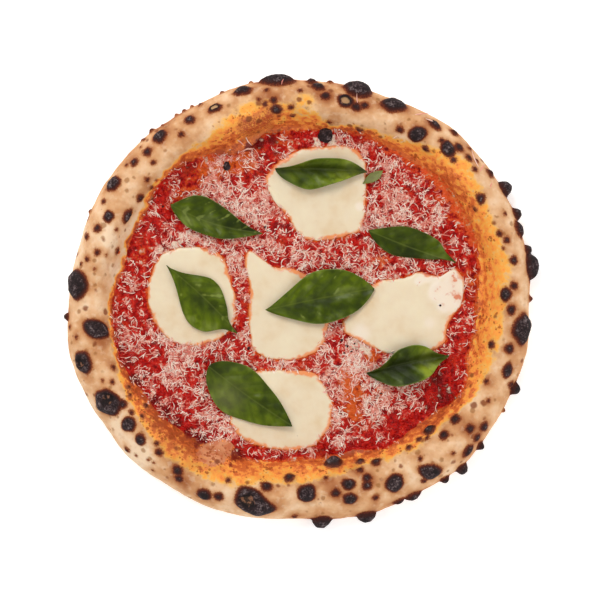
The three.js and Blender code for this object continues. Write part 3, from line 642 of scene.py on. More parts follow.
# %% [markdown]
# ## Where the grated cheese lies
#
# Grated hard cheese falls in drifts. A slow wave, the same as in the solids, makes the large ones,
# noise makes the small ones, and a few rows name spots that stay bare or lie thick. The same field
# tints the sauce, because the finest crumbs melt into it.

# %% Grated cheese: density
THICK = [
    (-37, 58, 10, 0.5), (-52, 70, 10, 0.25), (-22, 67, 6, 0.4), (-70, 41, 9, 0.45), (-55, 37, 6, 0.35),
    (-42, 26, 8, 0.5), (-20, 36, 7, 0.15), (72, 54, 13, 0.4), (88, 49, 7, 0.35), (62, 67, 6, 0.3),
    (52, 53, 9, 0.35), (65, 47, 6, 0.25), (43, 20, 7, 0.25), (61, 22, 5, 0.4), (-74, -32, 11, 0.4),
    (-91, -22, 5, 0.25), (-82, -49, 6, 0.3), (-47, -79, 8, 0.35), (-10, -40, 6, 0.4), (-19, -40, 5, 0.35),
    (16, -32, 5, 0.4), (33, -39, 7, 0.65), (38, -50, 10, 0.45), (17, -49, 6, 0.7), (25, -52, 6, 0.35),
    (56, -54, 8, 0.6), (25, -74, 6, 0.4), (45, -68, 6, 0.3), (74, -62, 6, 0.2), (-48, 93, 8, 0.45),
    (40, 95, 7, 0.5), (60, 89, 7, 0.35), (-10, 93, 5, 0.4), (-91, 31, 4, 0.6), (24, -93, 5, 0.35),
    (-105, -31, 6, 0.35), (-112, -4, 7, 0.25), (-2, 36, 5, 0.4),
]
BARE = [
    (-86, 57, 8, 0.5), (-73, 76, 7, 0.5), (-64, 84, 6, 0.5), (-42, 85, 7, 0.55), (-98, 38, 9, 0.45),
    (-102, 24, 7, 0.35), (-104, -2, 10, 0.35), (-102, -20, 6, 0.5), (-10, 38, 5, 0.8), (-12, 22, 6, 0.3),
    (33, 38, 7, 0.5), (-37, -13, 5, 0.55), (-100, -42, 6, 0.3), (-91, -41, 6, 0.65), (-58, -42, 6, 0.2),
    (-73, -77, 7, 0.45), (88, -48, 9, 0.6), (93, -60, 10, 0.65), (78, -78, 9, 0.7), (79, -58, 6, 0.3),
    (61, -77, 6, 0.4), (66, -84, 7, 0.4), (40, -94, 8, 0.4), (16, -97, 6, 0.4), (-12, -104, 9, 0.3),
    (-38, -95, 6, 0.4), (0, 108, 10, 0.4), (-27, 102, 9, 0.6), (16, 103, 5, 0.5), (104, 30, 9, 0.25),
    (104, -2, 9, 0.35), (98, -20, 8, 0.4), (96, -38, 8, 0.5), (88, 70, 8, 0.3), (98, 43, 8, 0.5),
    (-85, -60, 7, 0.25), (-22, 50, 7, 0.3), (51, 24, 5, 0.3), (27, -30, 5, 0.5), (-54, -80, 6, 0.35),
    (33, -76, 4, 0.3), (-28, -95, 6, 0.35), (79, 60, 6, 0.3), (35, -62, 8, 0.2), (47, -36, 5, 0.6),
    (35, -74, 6, 0.2),
]
COVER = 0.36  # how thick it lies where nothing else is said
DRIFTS = 0.06
CLUMPS = [(0.3, 13, 9.4), (0.8, 4.5, 2.2)]


def cheese_density(px, py):
    """How thick the grated cheese lies, from 0 to 1."""
    drift = np.sin(px / 26 + 2.1) * np.cos(py / 23 - 0.6) + np.sin((px + 1.4 * py) / 31)
    thick = COVER + DRIFTS * drift + lumps(CLUMPS, px, py)
    thick = thick + bump(px, py, THICK) - bump(px, py, BARE)
    sauce_ends, _, _, tint_reach = edge_at(np.arctan2(py, px))
    inside = sauce_ends - 0.7 * tint_reach - np.hypot(px, py)
    return np.clip(thick, 0, 1) * (0.5 + 0.5 * smooth(inside, -1, 5)) * (inside > -2)


# %% Sauce: make the piece
x, y = sauce_grid[..., 0], sauce_grid[..., 1]
past = past_pool(x, y)
sauce_ends, _, _, tint_reach = edge_at(np.arctan2(y, x))
sauce = closed_piece(
    "crushed_tomato_sauce", sauce_grid, pool=past,
    rim=np.clip(1.15 - (sauce_ends - np.hypot(x, y)) / tint_reach, -1, 1.15),
    cheese=cheese_density(x, y) * smooth(past, -2, 1),
    oily=bump(x, y, OILY) * smooth(past, 0, 2),
    deep=bump(x, y, CREASE_SHADE),
    milk=bump(x, y, MILK),
)
print("The sauce has", len(sauce.data.polygons), "faces")

# %% [markdown]
# ## Mozzarella pools: form
#
# Each pool is a closed skin round a thin cushion: a rounded edge that meets the sauce, and a nearly
# flat top with slow swells.

# %% Pools: make the pieces
POOL_SHARES = np.linspace(0, 0.9, 28)  # rings of the top, as shares of the way to the edge
POOL_EDGE_SHARES = [0.94, 0.965, 0.985, 0.997, 1]
POOL_UNDER_SHARES = [0.99, 0.9, 0.5, 0]
POOL_EDGE = 0.9
POOL_ROUNDING = 2.2  # the edge is round over this width
POOL_DOME = 1.25
POOL_SUNK = 1.0  # the underside lies this far in the sauce
SWELLS = [(0.35, 17, 3.3), (0.12, 6, 1.9)]
# Sauce smeared over the cheese, most of it on the right-hand pool: x, y, size, strength.
SMEARS = [
    (93, 22, 4, 1.1), (87, 18, 4, 0.9), (81, 15, 3.5, 0.7), (99, 14, 4, 1.1), (88, 8, 3.5, 0.7),
    (101, 3, 3.5, 0.7), (76, 12, 3, 0.5), (95, -2, 8, 0.4), (80, -32, 5, 0.5), (38, 60, 3, 0.5),
    (-39, -18, 3, 0.5), (86, 4, 4, 0.5), (97, 8, 6, 0.6), (104, 1, 5, 0.6), (92, -4, 2.5, 0.6),
    (83, -15, 5, 0.3), (39, -21, 7, 0.42),
]


def make_pool(name):
    """The piece, and a reader of its height."""
    middle, _ = POOLS[name]
    share = np.concatenate([POOL_SHARES, POOL_EDGE_SHARES, POOL_UNDER_SHARES])[:, None]
    top_count = len(share) - len(POOL_UNDER_SHARES)
    px = middle[0] + share * POOL_RADII[name] * np.cos(POOL_ANGLES)
    py = middle[1] + share * POOL_RADII[name] * np.sin(POOL_ANGLES)
    inside = (1 - share) * POOL_RADII[name]
    rounded = np.sqrt(1 - (1 - np.clip(inside / POOL_ROUNDING, 0, 1)) ** 2)
    pz = POOL_UNDER - GAP + (POOL_EDGE + lumps(SWELLS, px, py)) * rounded + POOL_DOME * (1 - share**3)
    pz[top_count:] = POOL_UNDER - POOL_SUNK
    grid = np.stack([px, py, pz], axis=2)
    piece = closed_piece(name.replace("mozzarella", "melted_mozzarella"), grid, inside=inside,
                         smear=bump(px, py, SMEARS))
    return piece, height_reader(grid[:top_count], middle)


pools, pool_heights = {}, {}
for name in POOLS:
    pools[name], pool_heights[name] = make_pool(name)


def topping_height(px, py):
    """Height of the sauce, or of the pool that lies over it."""
    px, py = np.ravel(px), np.ravel(py)
    height = sauce_height(px, py)
    for name, height_of_pool in pool_heights.items():
        over = np.maximum(height, height_of_pool(px, py))
        height = np.where(past_edge_of(name, px, py) < 0, over, height)
    return height


print("Pools:", ", ".join(pools))

# %% [markdown]
# ## Basil leaves
#
# A basil leaf is thin, pointed at its tip and puckered between its side veins. Each is a grid
# pulled into the outline of one leaf: across it runs from one edge to the other, with the midrib
# between. The grid is folded and lifted like the solid leaf, its quilted surface is pushed up
# between the veins, and a Solidify modifier gives it its thickness.

# %% Basil: rows
# A leaf goes from one of its ends to the other. Its right and left half outlines are: half width,
# where along the leaf it is reached, fullness, and how much of its width the near end loses; "tail"
# is what the far end loses. The midrib bends by "rib", the edges rise by "fold", and both ends by
# "lift". Tones are for the right and the left half, "far" and "near" lighten those ends of them, and
# "veined" is how far the side veins show.
LEAVES = {
    "basil_top": dict(ends=((-16, 84), (43, 82)), left=(8, 0.62, 0.85, 0.3), right=(12.5, 0.34, 1.15, 0.15),
                      rib=1, fold=5, lift=1.5, tone=(0.46, 0.6), far=(0.65, 0), near=(0, 0.65)),
    "basil_upper_left": dict(ends=((-83, 61), (-24, 43)), left=(11.5, 0.33, 1.9, 0),
                             right=(12.2, 0.44, 0.85, 0), rib=-3.5, fold=2.5, lift=1.2,
                             tone=(0.44, 0.3), far=(0, -0.2), near=(0, 0.1), veined=1),
    "basil_left": dict(ends=((-85.5, 22), (-40, -21)), left=(14, 0.45, 1.5, 0.5),
                       right=(16.5, 0.6, 0.85, 0.3), rib=1.5, fold=-2.5, lift=0.8, tail=0.55,
                       tone=(0.5, 0.42), veined=0.92),
    "basil_middle": dict(ends=((-22, -6.5), (47.5, 7.5)), left=(18.4, 0.59, 0.85, 0),
                         right=(15.9, 0.57, 0.72, 0), rib=0.5, fold=2.5, lift=1.5,
                         tone=(0.28, 0.48), near=(0.2, 0.1), veined=0.9),
    "basil_right": dict(ends=((44, 44.5), (100, 24)), left=(11.6, 0.52, 0.85, 0),
                        right=(9, 0.33, 1.4, 0), rib=-1, fold=-2, lift=1, tail=0.4, tone=(0.2, 0.34)),
    "basil_lower_right": dict(ends=((42.5, -47), (95.5, -35.5)), left=(11.5, 0.55, 1.3, 0.6),
                              right=(13, 0.47, 0.85, 0), rib=1, fold=6.5, lift=2, tail=0.35,
                              tone=(0.1, 0.23), far=(1, 0.55), near=(0.2, 0.7)),
    "basil_bottom": dict(ends=((-58.5, -42.5), (-5, -80.5)), left=(14.2, 0.37, 0.85, 0),
                         right=(18, 0.38, 0.85, 0), rib=-1, fold=-2.5, lift=1, tone=(0.45, 0.38)),
    "basil_sprig": dict(ends=((40.5, 74.5), (53, 83)), left=(2.6, 0.5, 0.85, 0), right=(3, 0.6, 0.85, 0),
                        rib=0, fold=1.2, lift=1, tone=(0.85, 0.85)),
}
LEAF_THICKNESS = 0.45
LEAF_LONG = 72
LEAF_WIDE = 36
SIDE_VEINS = 6.5
FULL_SIZE = 40  # a shorter leaf has smaller puckers
PUCKER = 0.8  # height between two side veins
DENT = 0.9
EDGE_WAVE = 0.5
GROOVE = 0.35  # its depth along the midrib
GROOVE_WIDTH = 1.6
CLEAR = 0.05  # a leaf's underside clears what lies under it by this much
LEAF_MARGIN = 2  # grated cheese lies this far under its edges
# Painted sheen, a greyish veil of reflected light on a leaf: x, y, size, strength.
LEAF_SHEEN = [(-47, -62, 15, 0.9), (47, 79, 9, 2)]  # greyer leaf: x, y, size, strength


def half_width(leaf, side, u):
    """How wide the left or right half of a leaf is at shares u of its length."""
    size, peak, fullness, drawn_in = leaf[side]
    outline = np.sin(math.pi * np.clip(u, 0, 1) ** (math.log(0.5) / math.log(peak))) ** fullness
    near_end = 1 - drawn_in * (1 - smooth(u, 0.1, 0.45))
    far_end = 1 - leaf.get("tail", 0) * smooth(u, 0.74, 0.9)
    return size * outline * near_end * far_end


def leaf_line(leaf):
    """Where a leaf starts, the way it points, and its length."""
    start, end = np.array(leaf["ends"], dtype=float)
    length = math.hypot(*(end - start))
    return start, (end - start) / length, length


# %% Basil: make the pieces
def make_leaf(name, leaf):
    piece = primitive(bpy.ops.mesh.primitive_grid_add, name.replace("basil", "basil_leaf"),
                      x_subdivisions=LEAF_LONG, y_subdivisions=LEAF_WIDE, size=2)
    along, s, _ = coordinates(piece).T
    u = np.clip((along + 1) / 2, 0, 1)
    (x0, y0), (dx, dy), length = leaf_line(leaf)
    size = min(1, length / FULL_SIZE)
    arch = np.sin(math.pi * u)
    rib = leaf["rib"] * arch
    edge = np.where(s < 0, -half_width(leaf, "right", u), half_width(leaf, "left", u))
    edge = edge * (1 + 0.03 * np.sin(14 * u + length))
    off = rib + (edge - rib) * np.abs(s)
    off_rib = np.abs(off - rib)
    px, py = x0 + dx * u * length - dy * off, y0 + dy * u * length + dx * off

    vein = (u * SIDE_VEINS - 0.12 * off_rib / size) % 1
    quilt = PUCKER * np.sin(math.pi * vein) ** 0.7 * smooth(off_rib, 0.5, 4) * (1 - 0.6 * s * s)
    quilt = quilt + lumps([(DENT, 2.2, 0.1 * length)], 12 * u, 5 * s)
    ripple = EDGE_WAVE * s * s * np.sin(5 * math.pi * u + 2 * s)
    groove = -GROOVE * np.exp(-((off_rib / GROOVE_WIDTH) ** 2))
    fold = leaf["fold"] * np.abs(s) ** 1.3 * arch
    pz = fold + leaf["lift"] * (2 * u - 1) ** 2 + size * (quilt * arch + ripple + groove)
    near_and_far = np.array([0.2, 0.8]) * length
    first, last = topping_height(x0 + dx * near_and_far, y0 + dy * near_and_far)
    pz = pz + (last - first) * u
    pz = pz - (pz - topping_height(px, py)).min() + LEAF_THICKNESS + CLEAR
    shape(piece, np.stack([px, py, pz], axis=1))

    right, left = leaf["tone"]
    for end, share in (("far", smooth(u, 0.45, 0.8)), ("near", smooth(u, 0.4, 0.15))):
        right, left = (tone + more * share for tone, more in zip((right, left), leaf.get(end, (0, 0))))
    paint(piece, tone=right + (left - right) * smooth(s, -0.25, 0.25), across=s, off_rib=off_rib,
          from_vein=np.abs(vein - 0.5), veined=leaf.get("veined", 0.8), dull=bump(px, py, LEAF_SHEEN),
          valley=np.exp(-((off_rib / 4.5) ** 2)) * abs(leaf["fold"]) / 5)
    close_seam(0.02)
    thick = piece.modifiers.new("thickness", "SOLIDIFY")
    thick.thickness = LEAF_THICKNESS * MM
    thick.offset = -1
    bpy.ops.object.modifier_apply(modifier=thick.name)
    solid_low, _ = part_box(name)
    print(piece.name, "is", round(length), "mm long and lies at", round(pz.min() - LEAF_THICKNESS, 1),
          "mm; its solid at", round(solid_low[2] / MM, 1), "mm")
    return piece


leaves = {name: make_leaf(name, leaf) for name, leaf in LEAVES.items()}


def under_leaf(px, py):
    """True where a leaf covers the point by more than LEAF_MARGIN."""
    covered = np.zeros(len(px), dtype=bool)
    for leaf in LEAVES.values():
        (x0, y0), (dx, dy), length = leaf_line(leaf)
        u = ((px - x0) * dx + (py - y0) * dy) / length
        off = (py - y0) * dx - (px - x0) * dy
        right, left = half_width(leaf, "right", u), half_width(leaf, "left", u)
        covered |= (u > 0) & (u < 1) & (off < left - LEAF_MARGIN) & (off > LEAF_MARGIN - right)
    return covered


# %% [markdown]
# ## Grated cheese
#
# Thousands of short shreds lie on the sauce. One is modelled: a ball with four sides,
# whose rings are moved out so that its ends are blunt. All the others are copies of its few
# vertices, each with its own length, width, heading and bend, laid on the sauce under it and
# joined into one mesh.

# %% Grated cheese: one shred
SHRED_FLATNESS = 0.6
LONG_COUNT = 2000
SHORT_COUNT = 4200


def model_shred(rings):
    """Points of a shred that is 1 long, wide and high, and its triangles."""
    piece = primitive(bpy.ops.mesh.primitive_uv_sphere_add, "shred",
                      segments=4, ring_count=rings, radius=0.5)
    edit_all(bpy.ops.mesh.quads_convert_to_tris)
    points = coordinates(piece)[:, [2, 0, 1]]
    faces = np.array([face.vertices[:] for face in piece.data.polygons])
    bpy.data.objects.remove(piece)
    points[:, 0] = np.sign(points[:, 0]) * 0.5 * np.abs(2 * points[:, 0]) ** 1.3
    return points, faces


LONG_SHRED = model_shred(7)
SHORT_SHRED = model_shred(4)
print("A long shred has", len(LONG_SHRED[1]), "faces and a short one", len(SHORT_SHRED[1]))

# %% Grated cheese: draw the places
SAUCE_REACH = 122  # no sauce lies further than this from either axis
rng = np.random.default_rng(11)


def draw_places(count):
    """Random places on the sauce, more of them where the cheese lies thick."""
    places = np.empty((2, 0))
    tries = 4 * count
    while places.shape[1] < count:
        px, py = rng.uniform(-SAUCE_REACH, SAUCE_REACH, (2, tries))
        weight = cheese_density(px, py) ** 1.3 * smooth(past_pool(px, py), -2, 0)
        keep = (rng.uniform(0, 1, tries) < weight) & ~under_leaf(px, py)
        places = np.hstack([places, [px[keep], py[keep]]])
    return places[:, :count, None]


# %% Grated cheese: lay the shreds
def new_object(name, data, place=(0, 0, 0)):
    """Puts data into the scene as an object."""
    made = bpy.data.objects.new(name, data)
    made.location = place
    bpy.context.collection.objects.link(made)
    return made


def lay_shreds(name, shred, places, size, wide, heading, bend, lift, height_of):
    """One mesh of shreds, each laid on the height that height_of gives. All columns are per shred."""
    shred_points, shred_faces = shred
    px, py = places
    t, side, up = shred_points.T[:, None, :]
    across = bend * (1 - 4 * t * t) + side * wide
    mx, my = px + t * size * np.cos(heading), py + t * size * np.sin(heading)
    ground = height_of(mx, my).reshape(mx.shape)
    ground = (ground + ground.mean(axis=1, keepdims=True)) / 2
    vz = ground + lift * (1 + 0.8 * t) + up * wide * SHRED_FLATNESS
    points = np.stack([mx - across * np.sin(heading), my + across * np.cos(heading), vz], axis=2)
    steps = np.arange(len(px))[:, None, None] * len(shred_points)
    faces = (shred_faces[None] + steps).reshape(-1, 3)
    mesh = bpy.data.meshes.new(name)
    mesh.from_pydata((points.reshape(-1, 3) * MM).tolist(), [], faces.tolist())
    mesh.shade_smooth()
    piece = new_object(name, mesh)
    melt = rng.uniform(0, 1, px.shape) - 0.25 * lift
    paint(piece, melt=np.repeat(melt, len(shred_points)))
    print(name, "has", len(px), "shreds and", len(faces), "faces")
    return piece


def scatter(name, shred, count, length, width):
    """Shreds at random on the sauce. Their length and width lie within the given ranges."""
    column = (count, 1)
    size = rng.uniform(*length, column)
    return lay_shreds(
        name, shred, draw_places(count), size,
        wide=rng.uniform(*width, column), heading=rng.uniform(0, math.tau, column),
        bend=size * rng.uniform(-0.3, 0.3, column), lift=0.5 * rng.uniform(0, 1, column) ** 2,
        height_of=topping_height,
    )


share_laid = 1
grated = [
    scatter("grated_cheese_long", LONG_SHRED, int(LONG_COUNT * share_laid), (3, 8), (0.45, 0.75)),
    scatter("grated_cheese_short", SHORT_SHRED, int(SHORT_COUNT * share_laid), (1.5, 3.6), (0.5, 0.95)),
]

# %% [markdown]
# ## Stray bits
#
# A few threads of cheese fell on the rim, and flakes of charred dough lie in the sauce. Both are
# laid like the shreds, but each where a row says: its middle, length, width, heading in degrees and
# bend. Two charred lumps stuck in the sauce: each is a ball, pressed and made uneven by noise.

# %% Stray bits: threads, flakes and lumps
STRAY_THREADS = [
    (36.5, 127.5, 8, 0.6, 95, 0.3), (25.5, 106.5, 12, 0.6, 106, 1.6), (76, 118, 12, 0.8, 10, 0.5),
    (83, 114, 7, 0.8, -25, 0.4), (111.5, 90, 12, 0.7, 112, 0.6), (116, 84, 6, 0.9, 60, 0.3),
    (121.5, 72, 6, 0.8, 75, 0.4), (-11, 139, 4, 0.7, 70, 0.4), (-40, 101, 10, 0.9, -30, 1.2),
    (-33, 103, 9, 0.8, -60, -1), (-34, 96, 9, 1.0, 15, 0.8), (62, 104, 6, 0.7, 20, 0.5),
    (-62, 88, 7, 0.7, 60, 0.8), (-108, 48, 8, 0.6, 70, 1), (100, 78, 7, 0.7, -50, 0.8),
]
FLAKES = [
    (-22.4, 47, 2.2, 1.6, 30, 0), (-21, 44.5, 1.4, 1, 80, 0), (-33, -31, 2.6, 1.8, 60, 0),
    (27, -26, 2.4, 1.6, 50, 0.3), (30, -29.5, 2.8, 1.5, -20, 0), (33, -33, 1.8, 1.4, 20, 0),
    (28.5, -34, 1.5, 1.2, 0, 0), (35, -28, 1.4, 1, 40, 0), (90, -3.5, 1.6, 1.4, 0, 0),
    (-2, 32, 1.3, 1, 10, 0), (60, 40, 1.4, 1.1, 70, 0), (-88, 60, 1.8, 1.3, 40, 0),
    (52, -60, 1.5, 1.1, 10, 0), (-60, -62, 1.4, 1, 30, 0),
]
LUMPS = {"charred_lump_upper": (16.5, 106, 4.5, 4.8, 3.2), "charred_lump_left": (-47, 86, 2.2, 3, 2)}
STRAY_LIFT = 0.25


def surface_height(px, py):
    """Height of whatever is uppermost at a place: dough, sauce or mozzarella."""
    return np.maximum(topping_height(px, py), dough_height(px, py))


def lay_rows(name, shred, rows):
    px, py, size, wide, heading, bend = np.array(rows, dtype=float).T[:, :, None]
    return lay_shreds(name, shred, (px, py), size, wide, np.radians(heading), bend,
                      lift=np.full_like(px, STRAY_LIFT), height_of=surface_height)


def make_lump(name, px, py, *half_sizes):
    piece = primitive(bpy.ops.mesh.primitive_ico_sphere_add, name, subdivisions=5, radius=1)
    ball = coordinates(piece)
    uneven = 1 + lumps([(0.3, 0.9, px), (0.1, 0.3, py)], *ball.T)
    shape(piece, ball * uneven[:, None] * half_sizes + [px, py, surface_height(px, py)[0]])
    paint(piece, char=3.0)
    bpy.ops.object.shade_smooth()
    return piece


stray_threads = lay_rows("stray_cheese_threads", LONG_SHRED, STRAY_THREADS)
flakes = lay_rows("charred_flakes", SHORT_SHRED, FLAKES)
paint(flakes, char=2.0)
charred_lumps = [make_lump(name, *row) for name, row in LUMPS.items()]

# %% [markdown]
# ## Materials
#
# A material is a small chain of nodes. One function adds a node with its settings and its links,
# and one turns a colour written in sRGB into the linear light that the renderer works in. Coats of
# colour are then laid over each other, each where some number rises or falls.

# %% Helpers for materials
def colour(code):
    parts = [int(code[i:i + 2], 16) / 255 for i in (1, 3, 5)]
    return (*[p / 12.92 if p <= 0.04045 else ((p + 0.055) / 1.055) ** 2.4 for p in parts], 1)


def add(tree, kind, inputs=(), out=0, stops=(), **settings):
    """Adds a node, and gives one of its outputs. An input is a value or the output of another node."""
    node = tree.nodes.new("ShaderNode" + kind)
    for key, value in settings.items():
        setattr(node, key, value)
    for key, value in inputs.items() if isinstance(inputs, dict) else enumerate(inputs):
        if isinstance(value, bpy.types.NodeSocket):
            tree.links.new(value, node.inputs[key])
        else:
            node.inputs[key].default_value = value
    for i, (place, code) in enumerate(stops):
        steps = node.color_ramp.elements
        step = steps[i] if i < 2 else steps.new(place)
        step.position = place
        step.color = colour(code)
    return node.outputs[out] if len(node.outputs) else node


def coats(tree, under, *rows):
    """Lays colours over another, each where a number rises or falls.

    A row is a colour, the number, where it starts to show the colour and where it shows most, and
    how much that is.
    """
    for over, value, start, full, most in rows:
        over = colour(over) if isinstance(over, str) else over
        share = add(tree, "MapRange", [value, start, full, 0.0, most], interpolation_type="SMOOTHSTEP")
        under = add(tree, "Mix", {0: share, 6: under, 7: over}, 2, data_type="RGBA")
    return under


def shaken(tree, place, size, amount):
    """The place, moved about by up to amount millimetres in lumps of a size."""
    field = add(tree, "TexNoise", {"Vector": place, "Scale": 1 / (size * MM)}, "Color")
    centred = add(tree, "VectorMath", [field, (0.5, 0.5, 0.5)], operation="SUBTRACT")
    moves = add(tree, "VectorMath", {0: centred, "Scale": 2 * amount * MM}, operation="SCALE")
    return add(tree, "VectorMath", [place, moves], operation="ADD")


def freckles(tree, place, spacing, largest, common):
    """Round specks of many sizes, above 0 inside a speck: one or none in each cell of the surface."""
    cells = {"Vector": place, "Scale": 1 / (spacing * MM)}
    chance = add(tree, "SeparateColor", [add(tree, "TexVoronoi", cells, "Color")])
    size = largest / spacing / common
    radius = add(tree, "Math", [chance, size, (common - 1) * size], operation="MULTIPLY_ADD")
    return add(tree, "Math", [radius, add(tree, "TexVoronoi", cells, "Distance")], operation="SUBTRACT")


def threads(tree, place, size, cheese):
    """Curly threads, above 0 inside a thread: they follow the level lines of a noise."""
    field = add(tree, "TexNoise", {"Vector": place, "Scale": 1 / (size * MM), "Detail": 1.0}, "Fac")
    off_line = add(tree, "Math", [field, 0.5], operation="SUBTRACT")
    off_line = add(tree, "Math", [off_line], operation="ABSOLUTE")
    width = add(tree, "Math", [cheese, 0.032, -0.004], operation="MULTIPLY_ADD")
    return add(tree, "Math", [width, off_line], operation="SUBTRACT")


def start_material(name, sizes=(), kept=(), detail=3.0):
    """A new material, its tree, the place on the piece, and two lists of numbers that vary over it.

    They are noises, with lumps of the given sizes in millimetres, and what the vertices keep.
    """
    material = bpy.data.materials.new(name)
    material.use_nodes = True
    tree = material.node_tree
    tree.nodes.clear()
    place = add(tree, "TexCoord", out="Object")
    noises = [add(tree, "TexNoise", {"Vector": place, "Scale": 1 / (size * MM), "Detail": detail}, "Fac")
              for size in sizes]
    numbers = [add(tree, "Attribute", out="Fac", attribute_name=key) for key in kept]
    return material, tree, place, noises, numbers


def finish_material(tree, base, roughness, height=None, bump_mm=0.0, specular=0.5, soft=None, **fixed):
    """Adds the shader, and a bump of up to bump_mm where there is a height.

    Soft is how much light goes in, how far in millimetres, and each colour's share of that.
    """
    inputs = {"Base Color": base, "Roughness": roughness, "Specular IOR Level": specular, **fixed}
    if height is not None:
        inputs["Normal"] = add(tree, "Bump", {"Height": height, "Strength": 1.0, "Distance": bump_mm * MM})
    if soft:
        weight, depth, radius = soft
        inputs |= {"Subsurface Weight": weight, "Subsurface Scale": depth * MM, "Subsurface Radius": radius}
    add(tree, "OutputMaterial", [add(tree, "BsdfPrincipled", inputs)])


# %% [markdown]
# ### Baked dough
#
# Wheat dough, baked for a minute or two: pale and floury where it stayed cool, tan where it
# browned, black where it charred. The oil stain turns it yellow and then orange, in streaks. Char
# is greyish black with a thin red-brown edge; its grey is partly ash and partly painted sheen.
# Freckles show where the skin only scorched.

# %% Material: baked dough
def baked_dough():
    material, tree, place, (slow, middle, fine), kept = start_material(
        "baked_wheat_dough", (15, 4, 1.1),
        ("char", "oil", "toast", "hollow", "deep", "flush", "seared", "pink"))
    char, oil, toast, hollow, deep, flush, seared, pink = kept

    # The skin, from pale to brown, and its freckles.
    toast = add(tree, "Math", [slow, toast], operation="ADD")
    dough = add(tree, "ValToRGB", [toast], stops=[
        (0.3, "#e9cba9"), (0.5, "#deb288"), (0.68, "#cb9464"), (0.95, "#a9643b")])
    moved = shaken(tree, place, 2.5, 0.8)
    dough = coats(
        tree, dough,
        ("#efd4b4", middle, 0.52, 0.72, 0.3),  # flour
        ("#b98156", middle, 0.47, 0.33, 0.25),  # thin skin over air
        ("#95602e", freckles(tree, moved, 5, 2.2, 0.4), -0.06, 0.18, 0.7))

    # The stain goes from a yellow edge through orange to red at the sauce, in streaks.
    uneven = add(tree, "Math", [middle, 2.4, -0.6], operation="MULTIPLY_ADD")
    uneven = add(tree, "Math", [fine, 0.8, uneven], operation="MULTIPLY_ADD")
    streaks = add(tree, "Math", [uneven, oil], operation="MULTIPLY")
    stain = add(tree, "ValToRGB", [streaks], stops=[
        (0.1, "#e5bd88"), (0.34, "#e8ad56"), (0.5, "#ec9f40"), (0.62, "#ef963f"), (0.76, "#e6823b"),
        (0.92, "#cb632b")])
    flushed = add(tree, "Math", [flush, uneven], operation="MULTIPLY")
    flecks = add(tree, "Math", [fine, 3.0, flush], operation="MULTIPLY_ADD")
    dry = add(tree, "Math", [pink, uneven], operation="MULTIPLY")
    skin = coats(tree, colour("#cc8960"), ("#b85a34", middle, 0.5, 0.62, 0.7))
    dough = coats(
        tree, dough,
        (stain, streaks, 0.05, 0.42, 1.0),
        ("#a3421c", streaks, 1.05, 1.35, 0.9),  # oil cooked to red-brown
        ("#8a4f20", toast, 0.62, 1.2, 0.5),  # and browned by the flame
        ("#cf7a38", flushed, 0.3, 0.8, 0.85),  # a blushed bubble
        ("#a84424", flecks, 2.25, 2.6, 0.75),  # flecks of tomato on it
        ("#b04a26", flushed, 0.95, 1.2, 0.7),  # its reddest part
        (skin, dry, 0.35, 0.6, 0.85))

    # Seared specks crowd together where the oil fried the skin. The creases get painted shade in deep red.
    crowd = add(tree, "TexNoise", {"Vector": place, "Scale": 1 / (7 * MM)}, "Fac")
    crowd = add(tree, "Math", [crowd, 2.2, -1.32], operation="MULTIPLY_ADD")
    crowd = add(tree, "Math", [crowd, seared], operation="ADD")
    specks = add(tree, "Math", [freckles(tree, moved, 1.9, 1.2, 0.8), crowd], operation="ADD")
    specks = add(tree, "Math", [specks, oil], operation="MULTIPLY")
    deep = add(tree, "Math", [deep, uneven], operation="MULTIPLY")
    dough = coats(
        tree, dough,
        ("#94410f", specks, 0.0, 0.18, 0.8),
        ("#7c3a16", freckles(tree, moved, 6.5, 2.6, 0.35), -0.05, 0.16, 0.85),  # a few larger
        # painted shade in the creases against the sauce
        ("#6a0d0a", deep, 0.35, 0.8, 0.85))

    # Char goes from a brown halo to mottled black, whose grey patches are partly ash and partly
    # painted sheen. A burst blister's hollow is dark or pale.
    ragged = add(tree, "Math", [fine, 2.4, -1.2], operation="MULTIPLY_ADD")
    ragged = add(tree, "Math", [ragged, char], operation="ADD")
    mottled = add(tree, "Math", [middle, fine], operation="ADD")
    mottled = add(tree, "Math", [mottled, 0.5], operation="MULTIPLY")
    black = add(tree, "ValToRGB", [mottled], stops=[
        (0.4, "#160b0b"), (0.49, "#261617"), (0.56, "#3f3031"), (0.63, "#6b5c5b")])
    inside = coats(tree, colour("#1b1110"), ("#8f5f45", middle, 0.5, 0.62, 1.0))
    dough = coats(
        tree, dough,
        ("#a9683c", ragged, -2.2, -0.3, 0.45),
        ("#86401c", ragged, -1.1, -0.2, 0.9),
        ("#5a220e", ragged, -0.4, 0.4, 1.0),
        ("#361008", ragged, 0.5, 1.3, 1.0),
        (black, ragged, 1.2, 2.8, 1.0),
        (inside, hollow, 0.0, 1.0, 0.9),
        ("#b88e64", hollow, 1.0, 1.9, 1.0))  # bare crumb

    rough = add(tree, "MapRange", [streaks, 0.3, 1.0, 0.8, 0.4])
    height = add(tree, "Math", [fine, 0.5, middle], operation="MULTIPLY_ADD")
    finish_material(tree, dough, rough, height, bump_mm=0.5, specular=0.25,
                    soft=(0.1, 1.5, (0.9, 0.45, 0.2)))
    return material


# %% [markdown]
# ### Tomato sauce
#
# Crushed tomato under a film of oil: deep red and wet, so highlights are small and bright. It is
# orange where it thins out at the rim and where oil gathers round the mozzarella. Crumbs and the
# finest threads of hard cheese have melted into it, so it is a pale pink web where they lie thick.

